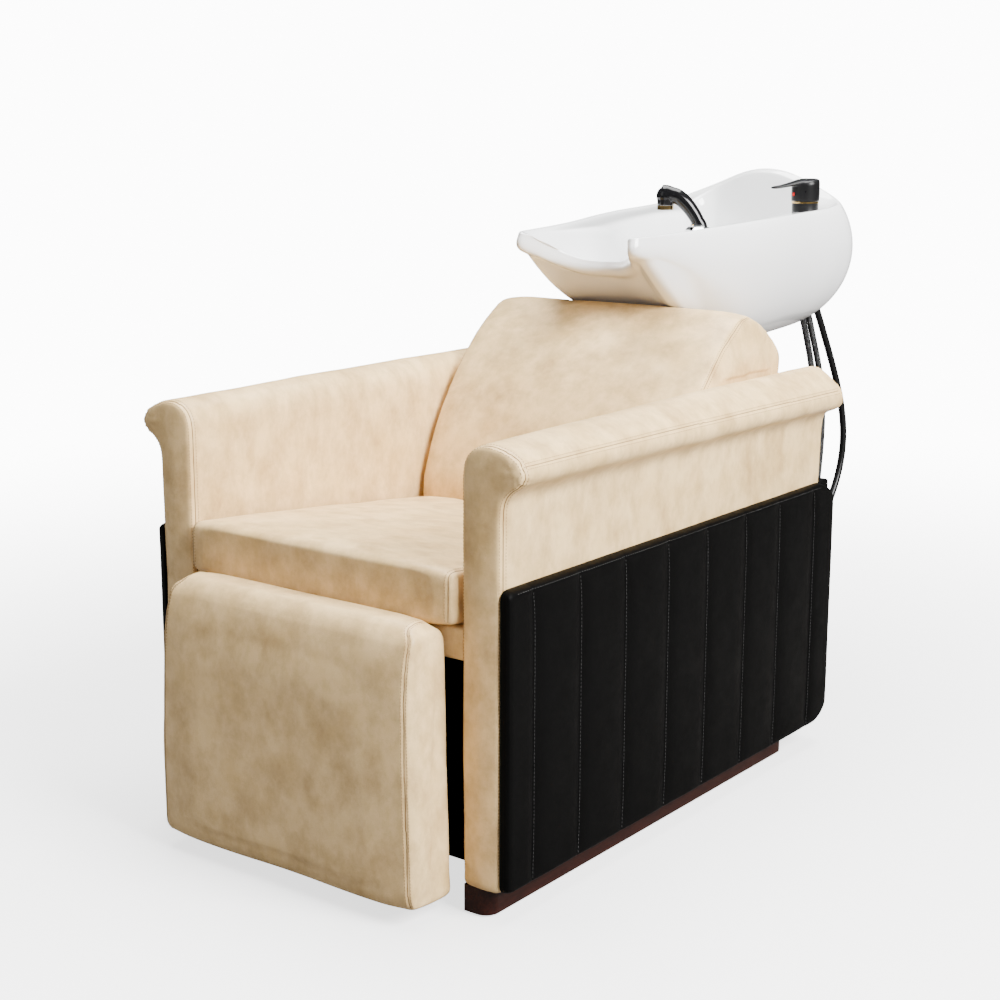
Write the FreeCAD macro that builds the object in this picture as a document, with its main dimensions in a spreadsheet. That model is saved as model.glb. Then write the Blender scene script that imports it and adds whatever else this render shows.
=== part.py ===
import FreeCAD, Part
import math
import os
import re

import Sketcher
from FreeCAD import Placement, Rotation, Vector

# Shampoo backwash unit: an upholstered armchair with a lifting leg rest, and a tilting ceramic basin
# on a steel post behind it, with a single-lever mixer and a pull-out hand spray on the basin's side deck.
#
# Millimetres, +Z up. The user looks along -Y, and the basin is behind their head. Left and right are as
# seen from in front of the unit: +X, the side with the mixer and the hand spray, is the right.
# Every sub-part is drawn with Y = 0 at the front face of the arms, "depth" in the comments,
# and its placement then moves it by chair_front, so that the origin is under the middle of the unit.

DRIVING_SIZES = [
    # alias, value, meaning
    ("chair_front", -584.6, "Y of the front face of the arms"),
    ("inner_half", 250.0, "half the clear width between the arms"),
    ("arm_thick", 63.7, "thickness of an arm below its roll"),
    ("arm_top", 646.0, "height of an arm"),
    ("arm_depth", 880.0, "length of an arm, front to rear"),
    ("roll_out", 37.0, "how far the rolled arm top stands outside the arm"),
    ("roll_drop", 12.0, "fall of the roll from its inner to its outer side"),
    ("roll_face", 30.0, "height of the roll's outer face"),
    ("roll_neck", 32.0, "height of the slope under the roll"),
    ("rail_top", 42.0, "height of the wooden floor rails"),
    ("rail_width", 42.0, "width of a floor rail"),
    ("rail_depth", 823.0, "length of a floor rail"),
    ("glide_thick", 3.0, "thickness of the glides under the rails"),
    ("board_thick", 18.0, "thickness of the boards inside the arms"),
    ("board_top", 559.0, "top of the boards inside the arms"),
    ("quilt_thick", 14.0, "thickness of a quilted outer panel"),
    ("quilt_depth", 913.0, "length of a quilted side panel"),
    ("quilt_top", 460.0, "top of the quilted panels"),
    ("quilt_corner", 14.0, "corner radius of the side panels"),
    ("quilt_heel", 42.0, "larger radius of their lower rear corner"),
    ("seat_front", 15.0, "how far the seat cushion stands in front of the arms"),
    ("seat_base", 399.0, "underside of the cushions"),
    ("seat_top", 478.0, "top of the seat at its front"),
    ("seat_rear_top", 428.0, "top of the seat where it meets the back cushion"),
    ("seat_depth", 510.0, "depth where the seat meets the back cushion"),
    ("cushion_gap", 0.8, "clearance round a cushion"),
    ("back_top", 752.0, "top of the back cushion"),
    ("back_rear", 864.0, "depth of the back cushion's rear edge"),
    ("shell_rear", 866.0, "depth of the rear panel's inner face"),
    ("ply_thick", 14.0, "thickness of the seat board and rear panel"),
    ("rest_half", 231.6, "half the width of the leg rest"),
    ("rest_front", 92.0, "how far the leg rest stands in front of the arms"),
    ("rest_base", 22.0, "height of the leg rest's lower edge"),
    ("rest_top", 407.0, "height of the leg rest's upper edge"),
    ("hinge_fore", 25.0, "how far the leg rest's hinge stands in front of the arms"),
    ("hinge_up", 402.0, "height of the leg rest's hinge"),
    ("hinge_side", 150.0, "distance of each leg rest hinge from the middle"),
    ("hinge_pin", 4.0, "radius of the leg rest's hinge pins"),
    ("running_gap", 0.05, "radial clearance of a pin in its bore"),
    ("post_side", 60.0, "width of the square steel post"),
    ("post_front", 922.0, "depth of the post's front face"),
    ("post_top", 600.0, "top of the post"),
    ("pivot_depth", 952.0, "depth of the basin's tilt pin"),
    ("pivot_up", 628.0, "height of the basin's tilt pin"),
    ("pivot_pin", 6.0, "radius of the basin's tilt pin"),
    ("yoke_half", 36.0, "half the width of the yoke on the post"),
    ("steel", 5.0, "thickness of the bracket plates"),
    ("bowl_base", 668.0, "underside of the basin"),
    ("bowl_floor", 690.0, "lowest point inside the basin"),
    ("waste_depth", 1065.0, "depth of the waste outlet"),
    ("waste_bore", 24.0, "radius of the waste hole in the basin"),
    ("spray_side", 104.0, "distance of the hand spray's holder from the middle"),
    ("spray_depth", 820.0, "depth of the hand spray's holder"),
    ("spray_deck", 866.0, "height of the basin's deck at the holder"),
    ("mixer_side", 128.0, "distance of the mixer from the middle"),
    ("mixer_depth", 1147.0, "depth of the mixer"),
    ("mixer_deck", 882.0, "height of the basin's deck at the mixer"),
    ("mixer_radius", 23.5, "radius of the mixer's body"),
    ("cap_radius", 25.0, "radius of the mixer's lever cap"),
    ("lever_angle", 62.0, "turn of the mixer's lever from -X towards -Y"),
    ("spray_hole", 14.0, "radius of the hand spray's hole in the deck"),
    ("mixer_hole", 14.3, "radius of the mixer's hole in the deck"),
    ("deck_under", 850.0, "underside of the basin's deck"),
    ("nut_thick", 9.5, "thickness of the nuts under the deck"),
    ("ferrule_top", 832.0, "top of the hoses' ferrules under the mixer"),
    ("ferrule_low", 812.0, "bottom of the ferrules, where the hoses begin"),
    ("shower_radius", 6.25, "radius of the hand spray's hose"),
    ("supply_radius", 5.75, "radius of a braided supply hose"),
]

doc = FreeCAD.newDocument("backwash_unit")
sheet = doc.addObject("Spreadsheet::Sheet", "Sizes")
for row, (alias, value, meaning) in enumerate(DRIVING_SIZES, 1):
    sheet.set(f"A{row}", alias)
    sheet.set(f"B{row}", str(value))
    sheet.setAlias(f"B{row}", alias)
    sheet.set(f"C{row}", meaning)
doc.recompute()

finished = []


def size(alias):
    """The value of one cell of the sheet."""
    return float(getattr(sheet, alias))


def bound(expression):
    """An expression in the sheet's aliases, written the way the document wants it."""
    return re.sub(r"[a-z][a-z_]+", lambda word: "Sizes." + word.group(0), expression)


def bind(thing, **expressions):
    """Binds properties of a document object to expressions in the sheet's aliases."""
    for name, expression in expressions.items():
        thing.setExpression(name, bound(expression))


def finish(thing, label, x="0", depth="0", z="0", turn=None):
    """Names a sub-part and puts its own origin at x, depth, z."""
    thing.Label = label
    if turn is not None:
        thing.Placement = Placement(Vector(), turn)
    bind(thing, **{"Placement.Base.x": x, "Placement.Base.z": z})
    bind(thing, **{"Placement.Base.y": f"chair_front + {depth}"})
    finished.append(thing)
    return thing


# ---- building blocks -------------------------------------------------------------------------------


def origin_plane(body, role):
    return next(feature for feature in body.Origin.OriginFeatures if feature.Role == role)


def new_sketch(body, role, offset="0"):
    """An empty sketch on one of the body's own planes, moved along its normal by offset."""
    sketch = body.newObject("Sketcher::SketchObject", "outline")
    sketch.AttachmentSupport = [(origin_plane(body, role), "")]
    sketch.MapMode = "FlatFace"
    bind(sketch, **{"AttachmentOffset.Base.z": offset})
    return sketch


def fix_point(sketch, geometry, which, point, start):
    """Holds one point of the sketch at two expressions, measured from the sketch's origin."""
    distances = (("DistanceX", point[0], start.x), ("DistanceY", point[1], start.y))
    for kind, expression, value in distances:
        index = sketch.addConstraint(Sketcher.Constraint(kind, -1, 1, geometry, which, value))
        sketch.setExpression(f"Constraints[{index}]", bound(expression))


def draw_polygon(sketch, points):
    """A closed outline through pairs of expressions. The solver moves each point there from a circle."""
    count = len(points)
    angles = [2 * math.pi * i / count - 2.3 for i in range(count)]
    start = [Vector(100 * math.cos(a), 100 * math.sin(a), 0) for a in angles]
    for i in range(count):
        sketch.addGeometry(Part.LineSegment(start[i], start[(i + 1) % count]), False)
    for i in range(count):
        sketch.addConstraint(Sketcher.Constraint("Coincident", i, 2, (i + 1) % count, 1))
    for i, point in enumerate(points):
        fix_point(sketch, i, 1, point, start[i])


def draw_circle(sketch, centre, radius):
    index = sketch.GeometryCount
    sketch.addGeometry(Part.Circle(Vector(10, 10, 0), Vector(0, 0, 1), 5.0), False)
    fix_point(sketch, index, 3, centre, Vector(10, 10, 0))
    held = sketch.addConstraint(Sketcher.Constraint("Radius", index, 5.0))
    sketch.setExpression(f"Constraints[{held}]", bound(radius))


def extrude(body, sketch, length, symmetric=False, backwards=False):
    pad = body.newObject("PartDesign::Pad", "pad")
    pad.Profile = sketch
    bind(pad, Length=length)
    pad.SideType = "Symmetric" if symmetric else "One side"
    pad.Reversed = backwards
    sketch.Visibility = False
    doc.recompute()
    return pad


def round_edges(body, radius, wanted):
    """Fillets the body's edges for which wanted(edge) is true."""
    base = body.Tip
    names = [f"Edge{i}" for i, edge in enumerate(base.Shape.Edges, 1) if wanted(edge)]
    if not names:
        raise ValueError(f"{body.Name}: no edge to round")
    fillet = body.newObject("PartDesign::Fillet", "rounding")
    fillet.Base = (base, names)
    bind(fillet, Radius=radius)
    doc.recompute()
    return fillet


def profile_body(role, points, length, symmetric=False, backwards=False):
    """A body with one polygon, drawn on an origin plane and extruded."""
    body = doc.addObject("PartDesign::Body", "profile")
    sketch = new_sketch(body, role)
    draw_polygon(sketch, points)
    extrude(body, sketch, length, symmetric, backwards)
    return body


def turned(points):
    """A body turned about its own Z axis from an outline of (radius, height) expressions."""
    body = doc.addObject("PartDesign::Body", "turned")
    sketch = new_sketch(body, "XZ_Plane")
    draw_polygon(sketch, points)
    revolution = body.newObject("PartDesign::Revolution", "revolution")
    revolution.Profile = sketch
    revolution.ReferenceAxis = (sketch, ["V_Axis"])
    revolution.Angle = 360.0
    sketch.Visibility = False
    doc.recompute()
    return body


def ring(inner, outer, low, high):
    """A turned ring, or a disc where inner is 0."""
    return turned([(inner, low), (outer, low), (outer, high), (inner, high)])


def block(low, extent):
    """A box from its lowest corner and its three lengths, all expressions."""
    box = doc.addObject("Part::Box", "box")
    for name, expression in zip(("Length", "Width", "Height"), extent):
        bind(box, **{name: expression})
    for axis, expression in zip("xyz", low):
        bind(box, **{f"Placement.Base.{axis}": expression})
    return box


def board(label, low, extent):
    """A box that is a sub-part by itself."""
    x, depth, z = low
    box = block((x, f"chair_front + {depth}", z), extent)
    box.Label = label
    finished.append(box)
    return box


def cross_cylinder(radius, half_length, x, depth, z):
    """A cylinder along X, centred at x."""
    cylinder = doc.addObject("Part::Cylinder", "cylinder")
    cylinder.Placement = Placement(Vector(), Rotation(Vector(0, 1, 0), 90))
    bind(cylinder, Radius=radius, Height=f"2 * ({half_length})")
    bind(cylinder, **{"Placement.Base.x": f"{x} - ({half_length})"})
    bind(cylinder, **{"Placement.Base.y": depth, "Placement.Base.z": z})
    return cylinder


def upright_cylinder(radius, height, x, depth, z):
    cylinder = doc.addObject("Part::Cylinder", "cylinder")
    bind(cylinder, Radius=radius, Height=height)
    for axis, expression in zip("xyz", (x, depth, z)):
        bind(cylinder, **{f"Placement.Base.{axis}": expression})
    return cylinder


def fused(*shapes):
    fuse = doc.addObject("Part::MultiFuse", "fuse")
    fuse.Shapes = list(shapes)
    return fuse


def cut(base, *tools):
    difference = doc.addObject("Part::Cut", "cut")
    difference.Base = base
    difference.Tool = tools[0] if len(tools) == 1 else fused(*tools)
    return difference


def group(*shapes):
    """Identical pieces that share one sub-part, as separate solids."""
    compound = doc.addObject("Part::Compound", "group")
    compound.Links = list(shapes)
    return compound


def plain_feature(shape, label):
    """A sub-part whose shape is worked out here from the sheet, in depth coordinates."""
    feature = doc.addObject("Part::Feature", "shape")
    feature.Shape = shape
    return finish(feature, label)


def is_along(edge, axis):
    """True for a straight edge parallel to an axis."""
    if edge.Curve.TypeId != "Part::GeomLine":
        return False
    return abs(edge.Curve.Direction.dot(axis)) > 0.999


def near(value, target, slack=0.6):
    return abs(value - target) < slack


ALONG_X = Vector(1, 0, 0)
ALONG_Y = Vector(0, 1, 0)
SIDES = (("left", -1), ("right", 1))


# ---- chair: arms, rails, panels --------------------------------------------------------------------


def build_arm(side_name, side):
    """Foam and leatherette over a board: a slab with a rolled top, open below for its board."""
    outer = "inner_half + arm_thick"
    section = [
        ("inner_half", "rail_top"),
        ("inner_half", "arm_top"),
        (f"{outer} + roll_out", "arm_top - roll_drop"),
        (f"{outer} + roll_out", "arm_top - roll_drop - roll_face"),
        (outer, "arm_top - roll_drop - roll_face - roll_neck"),
        (outer, "rail_top"),
    ]
    if side < 0:
        section = [(f"-({x})", z) for x, z in section]
    body = profile_body("XZ_Plane", section, "arm_depth", backwards=True)
    top_inner = size("arm_top")
    roll_tip = size("inner_half") + size("arm_thick") + size("roll_out")

    def is_roll_edge(edge):
        middle = edge.BoundBox.Center
        inside = near(abs(middle.x), size("inner_half")) and near(middle.z, top_inner)
        outside = near(abs(middle.x), roll_tip)
        return is_along(edge, ALONG_Y) and (inside or outside)

    round_edges(body, "roll_drop", is_roll_edge)
    slot = new_sketch(body, "XZ_Plane", "-20")
    middle = "inner_half + arm_thick / 2"
    x_low, x_high = (f"{side} * ({middle} {sign} board_thick / 2 {sign} 0.2)" for sign in "-+")
    corners = [(x_low, "rail_top - 1"), (x_high, "rail_top - 1")]
    corners += [(x_high, "board_top + 1"), (x_low, "board_top + 1")]
    draw_polygon(slot, corners)
    pocket = body.newObject("PartDesign::Pocket", "board_slot")
    pocket.Profile = slot
    bind(pocket, Length="arm_depth - 40")
    pocket.Reversed = False
    doc.recompute()
    if pocket.Shape.Volume >= pocket.BaseFeature.Shape.Volume:
        raise ValueError("the arm's board slot cut nothing")
    finish(body, f"arm_{side_name}")

    x_board = f"{side} * ({middle}) - board_thick / 2"
    low = (x_board, "20.5", "rail_top")
    board(f"arm_board_{side_name}", low, ("board_thick", "arm_depth - 41", "board_top - rail_top"))


def build_side_panel(side_name, side):
    """Quilted panel on the outside of an arm, with a larger radius at its lower rear corner."""
    corners = [("0", "rail_top"), ("quilt_depth", "rail_top")]
    corners += [("quilt_depth", "quilt_top"), ("0", "quilt_top")]
    body = profile_body("YZ_Plane", corners, "quilt_thick", backwards=side < 0)

    def is_corner(edge):
        return is_along(edge, ALONG_X)

    def is_heel(edge):
        middle = edge.BoundBox.Center
        low_rear = middle.z < size("quilt_top") / 2 and middle.y > size("quilt_depth") / 2
        return is_corner(edge) and low_rear

    round_edges(body, "quilt_corner", lambda edge: is_corner(edge) and not is_heel(edge))
    round_edges(body, "quilt_heel", is_heel)
    finish(body, f"side_panel_{side_name}", x=f"{side} * (inner_half + arm_thick + 0.2)")


def build_rail(side_name, side):
    """Wooden floor rail under an arm, with a rounded front outer corner."""
    inner = "inner_half + 2"
    outer = "inner_half + 2 + rail_width"
    corners = [(inner, "3"), (outer, "3"), (outer, "3 + rail_depth"), (inner, "3 + rail_depth")]
    corners = [(f"{side} * ({x})", depth) for x, depth in corners]
    body = profile_body("XY_Plane", corners, "rail_top - glide_thick")

    def is_nose(edge):
        middle = edge.BoundBox.Center
        upright = is_along(edge, Vector(0, 0, 1))
        return upright and near(abs(middle.x), size("inner_half") + 2 + size("rail_width"))

    round_edges(body, "rail_width / 2", is_nose)
    finish(body, f"floor_rail_{side_name}", z="glide_thick")


def build_glides():
    """Four glides under the rails."""
    shapes = []
    for side in (-1, 1):
        for depth in ("40", "rail_depth - 40"):
            x = f"{side} * (inner_half + 2 + rail_width / 2)"
            shapes.append(upright_cylinder("14", "glide_thick", x, depth, "0"))
    finish(group(*shapes), "rail_glides")


def build_stile(side_name, side):
    """Wooden rear corner post that carries the rear ends of the panels."""
    x = "inner_half + 20" if side > 0 else "-(inner_half + arm_thick)"
    low = (x, "arm_depth + 1", "rail_top")
    board(f"rear_stile_{side_name}", low, ("arm_thick - 20", "32", "quilt_top - rail_top"))


def build_rear_panels():
    """Upholstered panel behind the back cushion, and the quilted one below it between the rear posts."""
    low = ("-inner_half + cushion_gap", "shell_rear", "seat_base + 1")
    extent = ("2 * (inner_half - cushion_gap)", "ply_thick", "arm_top - seat_base - 12")
    board("rear_upper_panel", low, extent)
    half = "(inner_half + 20 - cushion_gap)"
    low = (f"-{half}", "quilt_depth - 24", "rail_top + 2")
    extent = (f"2 * {half}", "24", "quilt_top - rail_top - 4")
    board("rear_lower_panel", low, extent)


# ---- chair: seat and back --------------------------------------------------------------------------


def build_seat():
    half = "(inner_half - cushion_gap)"
    section = [
        ("-seat_front", "seat_base"),
        ("-seat_front", "seat_top - 4"),
        ("-seat_front + 12", "seat_top"),
        ("seat_depth", "seat_rear_top"),
        ("seat_depth", "seat_base"),
    ]
    body = profile_body("YZ_Plane", section, f"2 * {half}", symmetric=True)
    finish(body, "seat_cushion")

    width = f"2 * {half}"
    board("seat_board", (f"-{half}", "40", "seat_base - ply_thick"), (width, "808", "ply_thick"))
    board("front_rail", (f"-{half}", "6", "352"), (width, "32", "seat_base - ply_thick - 352.5"))
    kick_height = "seat_base - ply_thick - rail_top - 3"
    board("kick_board", (f"-{half}", "55", "rail_top + 2"), (width, "12", kick_height))

    rail_size = (width, "30", "seat_base - ply_thick - 334")
    rails = [block((f"-{half}", depth, "334"), rail_size) for depth in ("110", "690")]
    finish(group(*rails), "cross_rails")


def build_back():
    """Reclined back cushion with a crowned front, and the sloping board behind it."""
    half = "(inner_half - cushion_gap)"
    section = [
        ("seat_depth + 1", "seat_base + 1"),
        ("seat_depth + 2", "seat_rear_top + 45"),
        ("seat_depth + 36", "seat_rear_top + 120"),
        ("seat_depth + 92", "seat_rear_top + 202"),
        ("seat_depth + 160", "seat_rear_top + 270"),
        ("seat_depth + 222", "back_top - 3"),
        ("seat_depth + 250", "back_top - 4"),
        ("back_rear - 38", "back_top - 47"),
        ("back_rear", "back_top - 78"),
        ("back_rear", "back_top - 104"),
        ("back_rear - 64", "seat_base + 1"),
    ]
    body = profile_body("YZ_Plane", section, f"2 * {half}", symmetric=True)
    finish(body, "back_cushion")

    slope = [
        ("back_rear - 62", "seat_base + 0.5"),
        ("back_rear - 50", "seat_base + 0.5"),
        ("back_rear - 14", "seat_base + 138"),
        ("back_rear - 14", "seat_base + 186"),
    ]
    body = profile_body("YZ_Plane", slope, f"2 * {half}", symmetric=True)
    finish(body, "back_board")


# ---- leg rest --------------------------------------------------------------------------------------


def build_leg_rest():
    """Padded flap that hangs in front of the seat, with a recess for its board and a notch at each hinge."""
    section = [
        ("-rest_front", "rest_base"),
        ("-rest_front", "rest_top - 100"),
        ("-rest_front + 5", "rest_top - 48"),
        ("-rest_front + 17", "rest_top - 16"),
        ("-rest_front + 42", "rest_top"),
        ("-20", "rest_top - 1"),
        ("-17.5", "seat_base - 3"),
        ("-3", "seat_base - 16"),
        ("-3", "rest_base"),
    ]
    body = profile_body("YZ_Plane", section, "2 * rest_half", symmetric=True)
    board_low = ("-rest_half + 12", "-15", "rest_base + 10")
    board_extent = ("2 * rest_half - 24", "13", "hinge_up - rest_base - 44")
    tools = [block(board_low, board_extent)]
    for side in (-1, 1):
        low = (f"{side} * hinge_side - 13", "-hinge_fore - 17", "hinge_up - 25")
        tools.append(block(low, ("26", "60", "60")))
    finish(cut(body, *tools), "leg_rest_pad")

    board_low = ("-rest_half + 12.5", "-15", "rest_base + 10.5")
    board_extent = ("2 * rest_half - 25", "12", "hinge_up - rest_base - 45")
    board("leg_rest_board", board_low, board_extent)


def build_leg_hinges():
    """Two fixed eye bars on the front rail, and the clevises and pins in the leg rest's notches."""
    bars, clevises, pins = [], [], []
    bore = "hinge_pin + running_gap"
    for side in (-1, 1):
        middle = f"{side} * hinge_side"
        foot = block((f"{middle} - 20", "6", "seat_base - ply_thick"), ("40", "32", "3"))
        bar = block((f"{middle} - 3", "-hinge_fore", "hinge_up - 15"), ("6", "38 + hinge_fore", "11"))
        eye = cross_cylinder("8", "3", middle, "-hinge_fore", "hinge_up")
        hole = cross_cylinder(bore, "4", middle, "-hinge_fore", "hinge_up")
        bars.append(cut(fused(foot, bar, eye), hole))
        base = block((f"{middle} - 12.5", "-hinge_fore - 14", "hinge_up - 24.5"), ("25", "26", "4"))
        parts = [base]
        for cheek in (-10.5, 4.5):
            x = f"{middle} + ({cheek})"
            parts.append(block((x, "-hinge_fore - 8", "hinge_up - 21"), ("6", "16", "21")))
            parts.append(cross_cylinder("8", "3", f"{x} + 3", "-hinge_fore", "hinge_up"))
        hole = cross_cylinder("hinge_pin", "14", middle, "-hinge_fore", "hinge_up")
        clevises.append(cut(fused(*parts), hole))
        pins.append(cross_cylinder("hinge_pin", "12", middle, "-hinge_fore", "hinge_up"))
    finish(group(*bars), "leg_hinge_bars")
    finish(group(*clevises), "leg_hinge_clevises")
    finish(group(*pins), "leg_hinge_pins")


# ---- steel post and tilt hinge ---------------------------------------------------------------------


def build_post():
    """Square tube on a foot plate, tied to the chair's rear posts by two flat bars, with a yoke on top."""
    half = "post_side / 2"
    tall = "post_top - steel - 1"
    tube = block((f"-{half}", "post_front", "steel + 1"), ("post_side", "post_side", tall))
    wall = "3"
    inside = (f"post_side - 2 * {wall}", f"post_side - 2 * {wall}", "post_top")
    hollow = block((f"-{half} + {wall}", f"post_front + {wall}", "0"), inside)
    finish(cut(tube, hollow), "rear_post")

    board("post_foot", ("-85", "post_front - 40", "0"), ("170", "140", "steel + 1"))

    half_bar = "(inner_half + arm_thick - 14)"
    bar_size = (f"2 * {half_bar}", "8", "40")
    bars = [block((f"-{half_bar}", "post_front - 8.5", z), bar_size) for z in ("180", "390")]
    finish(group(*bars), "tie_bars")

    low = ("-yoke_half", f"pivot_depth - {half}", "post_top")
    parts = [block(low, ("2 * yoke_half", "post_side", "steel"))]
    for side in (-1, 1):
        x = f"{side} * (yoke_half - steel / 2)"
        low = (f"{x} - steel / 2", "pivot_depth - 16", "post_top + steel")
        parts.append(block(low, ("steel", "32", "pivot_up - post_top - steel")))
        parts.append(cross_cylinder("16", "steel / 2", x, "pivot_depth", "pivot_up"))
    bore = cross_cylinder("pivot_pin + running_gap", "yoke_half + 5", "0", "pivot_depth", "pivot_up")
    finish(cut(fused(*parts), bore), "tilt_yoke")


def build_saddle():
    """Plate bolted under the basin with two ears outside the yoke, its pad, pin and fasteners."""
    pad_thick = "3"
    top = f"bowl_base - {pad_thick}"
    board("saddle_pad", ("-62", "pivot_depth - 38", top), ("124", "84", pad_thick))
    parts = [block(("-62", "pivot_depth - 38", f"{top} - steel"), ("124", "84", "steel"))]
    for side in (-1, 1):
        x = f"{side} * (yoke_half + 1 + steel / 2)"
        low = (f"{x} - steel / 2", "pivot_depth - 15", "pivot_up")
        parts.append(block(low, ("steel", "30", f"{top} - steel - pivot_up")))
        parts.append(cross_cylinder("15", "steel / 2", x, "pivot_depth", "pivot_up"))
    bore = cross_cylinder("pivot_pin + 0.02", "yoke_half + 20", "0", "pivot_depth", "pivot_up")
    finish(cut(fused(*parts), bore), "basin_saddle")
    pin_half = "yoke_half + steel + 12"
    finish(group(cross_cylinder("pivot_pin", pin_half, "0", "pivot_depth", "pivot_up")), "tilt_pin")

    nuts = []
    for side in (-1, 1):
        x = f"{side} * (yoke_half + steel + 5)"
        nut = cross_cylinder("pivot_pin + 5", "3.9", x, "pivot_depth", "pivot_up")
        nuts.append(cut(nut, cross_cylinder("pivot_pin + 0.02", "6", x, "pivot_depth", "pivot_up")))
    for x in ("-54", "54"):
        for depth in ("pivot_depth - 28", "pivot_depth + 34"):
            nuts.append(upright_cylinder("6", "5", x, depth, f"{top} - steel - 5"))
    finish(group(*nuts), "saddle_fasteners")


# ---- basin -----------------------------------------------------------------------------------------

# Half of the rim's crest, from the middle of the neck notch round the horn and the side to the splash
# back: distance from the middle, depth, height, and 1 where the wall has the front's straight flare,
# 0 where it is a full bowl.
RIM = [
    (0, 700, 826, 1.0),
    (42, 686, 829, 1.0),
    (74, 658, 842, 1.0),
    (90, 626, 857, 1.0),
    (106, 612, 865, 1.0),
    (118, 630, 867, 0.95),
    (122, 680, 869, 0.8),
    (133, 770, 874, 0.3),
    (155, 880, 880, 0.0),
    (168, 980, 885, 0.0),
    (171, 1070, 889, 0.0),
    (175, 1150, 893, 0.0),
    (167, 1207, 901, 0.0),
    (112, 1236, 926, 0.0),
    (50, 1243, 950, 0.0),
    (0, 1245, 957, 0.0),
]
# Routes of the hoses, from the mixer down: x, depth, height.
SHOWER_ROUTE = [
    (136.7, 1147, 812),
    (136.7, 1147, 775),
    (140, 1162, 738),
    (140, 1188, 704),
    (139, 1218, 662),
    (143, 1244, 612),
    (147, 1268, 560),
    (150, 1288, 505),
    (151, 1296, 450),
    (151, 1284, 396),
    (151, 1254, 348),
    (151, 1212, 306),
    (147, 1165, 278),
    (138, 1115, 264),
    (128, 1072, 267),
    (119, 1039, 284),
    (113, 1020, 316),
    (110, 1011, 362),
    (109, 1003, 415),
    (108, 985, 470),
    (106, 956, 525),
    (103, 923, 578),
    (100, 900, 620),
    (98, 884, 660),
    (97, 873, 702),
    (98, 854, 742),
    (102, 832, 780),
    (104, 820, 818),
    (104, 820, 850),
]
HOT_ROUTE = [
    (123.7, 1139.5, 812),
    (123.7, 1139.5, 775),
    (123, 1148, 735),
    (123, 1163, 695),
    (126, 1178, 653),
    (129, 1192, 610),
    (131, 1202, 563),
    (131, 1207, 513),
    (130, 1207, 463),
    (129, 1204, 413),
    (127, 1199, 363),
    (125, 1193, 313),
    (123, 1188, 263),
    (121, 1184, 213),
    (120, 1181, 163),
    (119, 1178, 115),
    (119, 1178, 70),
]
COLD_ROUTE = [
    (123.7, 1154.5, 812),
    (123.7, 1154.5, 775),
    (125, 1162, 735),
    (130, 1175, 695),
    (135, 1186, 653),
    (140, 1199, 610),
    (143, 1210, 563),
    (144, 1217, 513),
    (143, 1219, 463),
    (141, 1218, 413),
    (139, 1214, 363),
    (136, 1210, 313),
    (134, 1208, 263),
    (132, 1204, 213),
    (131, 1203, 163),
    (132, 1204, 118),
    (132, 1204, 76),
]
MIDDLE_DEPTH = 960
BASE_CENTRE, BASE_HALF = 1030, (82, 124)
FLOOR_CENTRE, FLOOR_HALF = 1035, (62, 100)
BULGE_ANGLE = math.radians(122)
# Outer wall at the front, from the base to the rim: share of the way forwards, sideways and up.
FRONT_WALL = [(0, 0, 0), (0.17, 0.50, 0.12), (0.37, 0.88, 0.30), (0.57, 1.0, 0.49)]
FRONT_WALL += [(0.76, 1.03, 0.67), (0.93, 1.04, 0.76), (1.05, 1.05, 0.88), (1, 1, 1)]
WALL_STEPS = [0, 0.14, 0.3, 0.46, 0.62, 0.76, 0.89, 1]
INNER_STEPS = [1, 0.8, 0.58, 0.36, 0.16, 0]
# The cavity between the outer skin and the inner bowl, and the heights of its cross-sections.
SKIN_THICK, CORE_THICK = 12, 8
CAVITY_LEVELS = [692, 715, 745, 780, 815, 850]
CORE_LEVELS = [674, 715, 745, 780, 815, 852]
# Openings in the outer skin, under the mixer and under the hand spray: x, depth, radius.
HOSE_OPENINGS = [(122, 1158, 20), (131, 1175, 20), (139, 1192, 20), (97, 868, 17)]
SPRAY_HEAD = (-52, -21, 46)
# Inlets and outlet under the mixer, from its axis: hot, cold, hand spray.
TAILS = [(-4.3, -7.5), (-4.3, 7.5), (8.7, 0)]
RIM_WIDTH = 15
RIM_FALL = 5
DECK_FALL = 9


def deck_width(depth):
    """Width of the flat shelf inside the rim, which carries the fittings along the sides."""
    rise = min(max((depth - 690) / 90, 0), 1)
    fall = min(max((1236 - depth) / 50, 0), 1)
    at_mixer = min(max((depth - 1000) / 100, 0), 1)
    return 6 + (54 + 13 * at_mixer) * min(rise, fall)


def ellipse_point(centre, half, angle):
    return half[0] * math.sin(angle), centre + half[1] * math.cos(angle)


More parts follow.
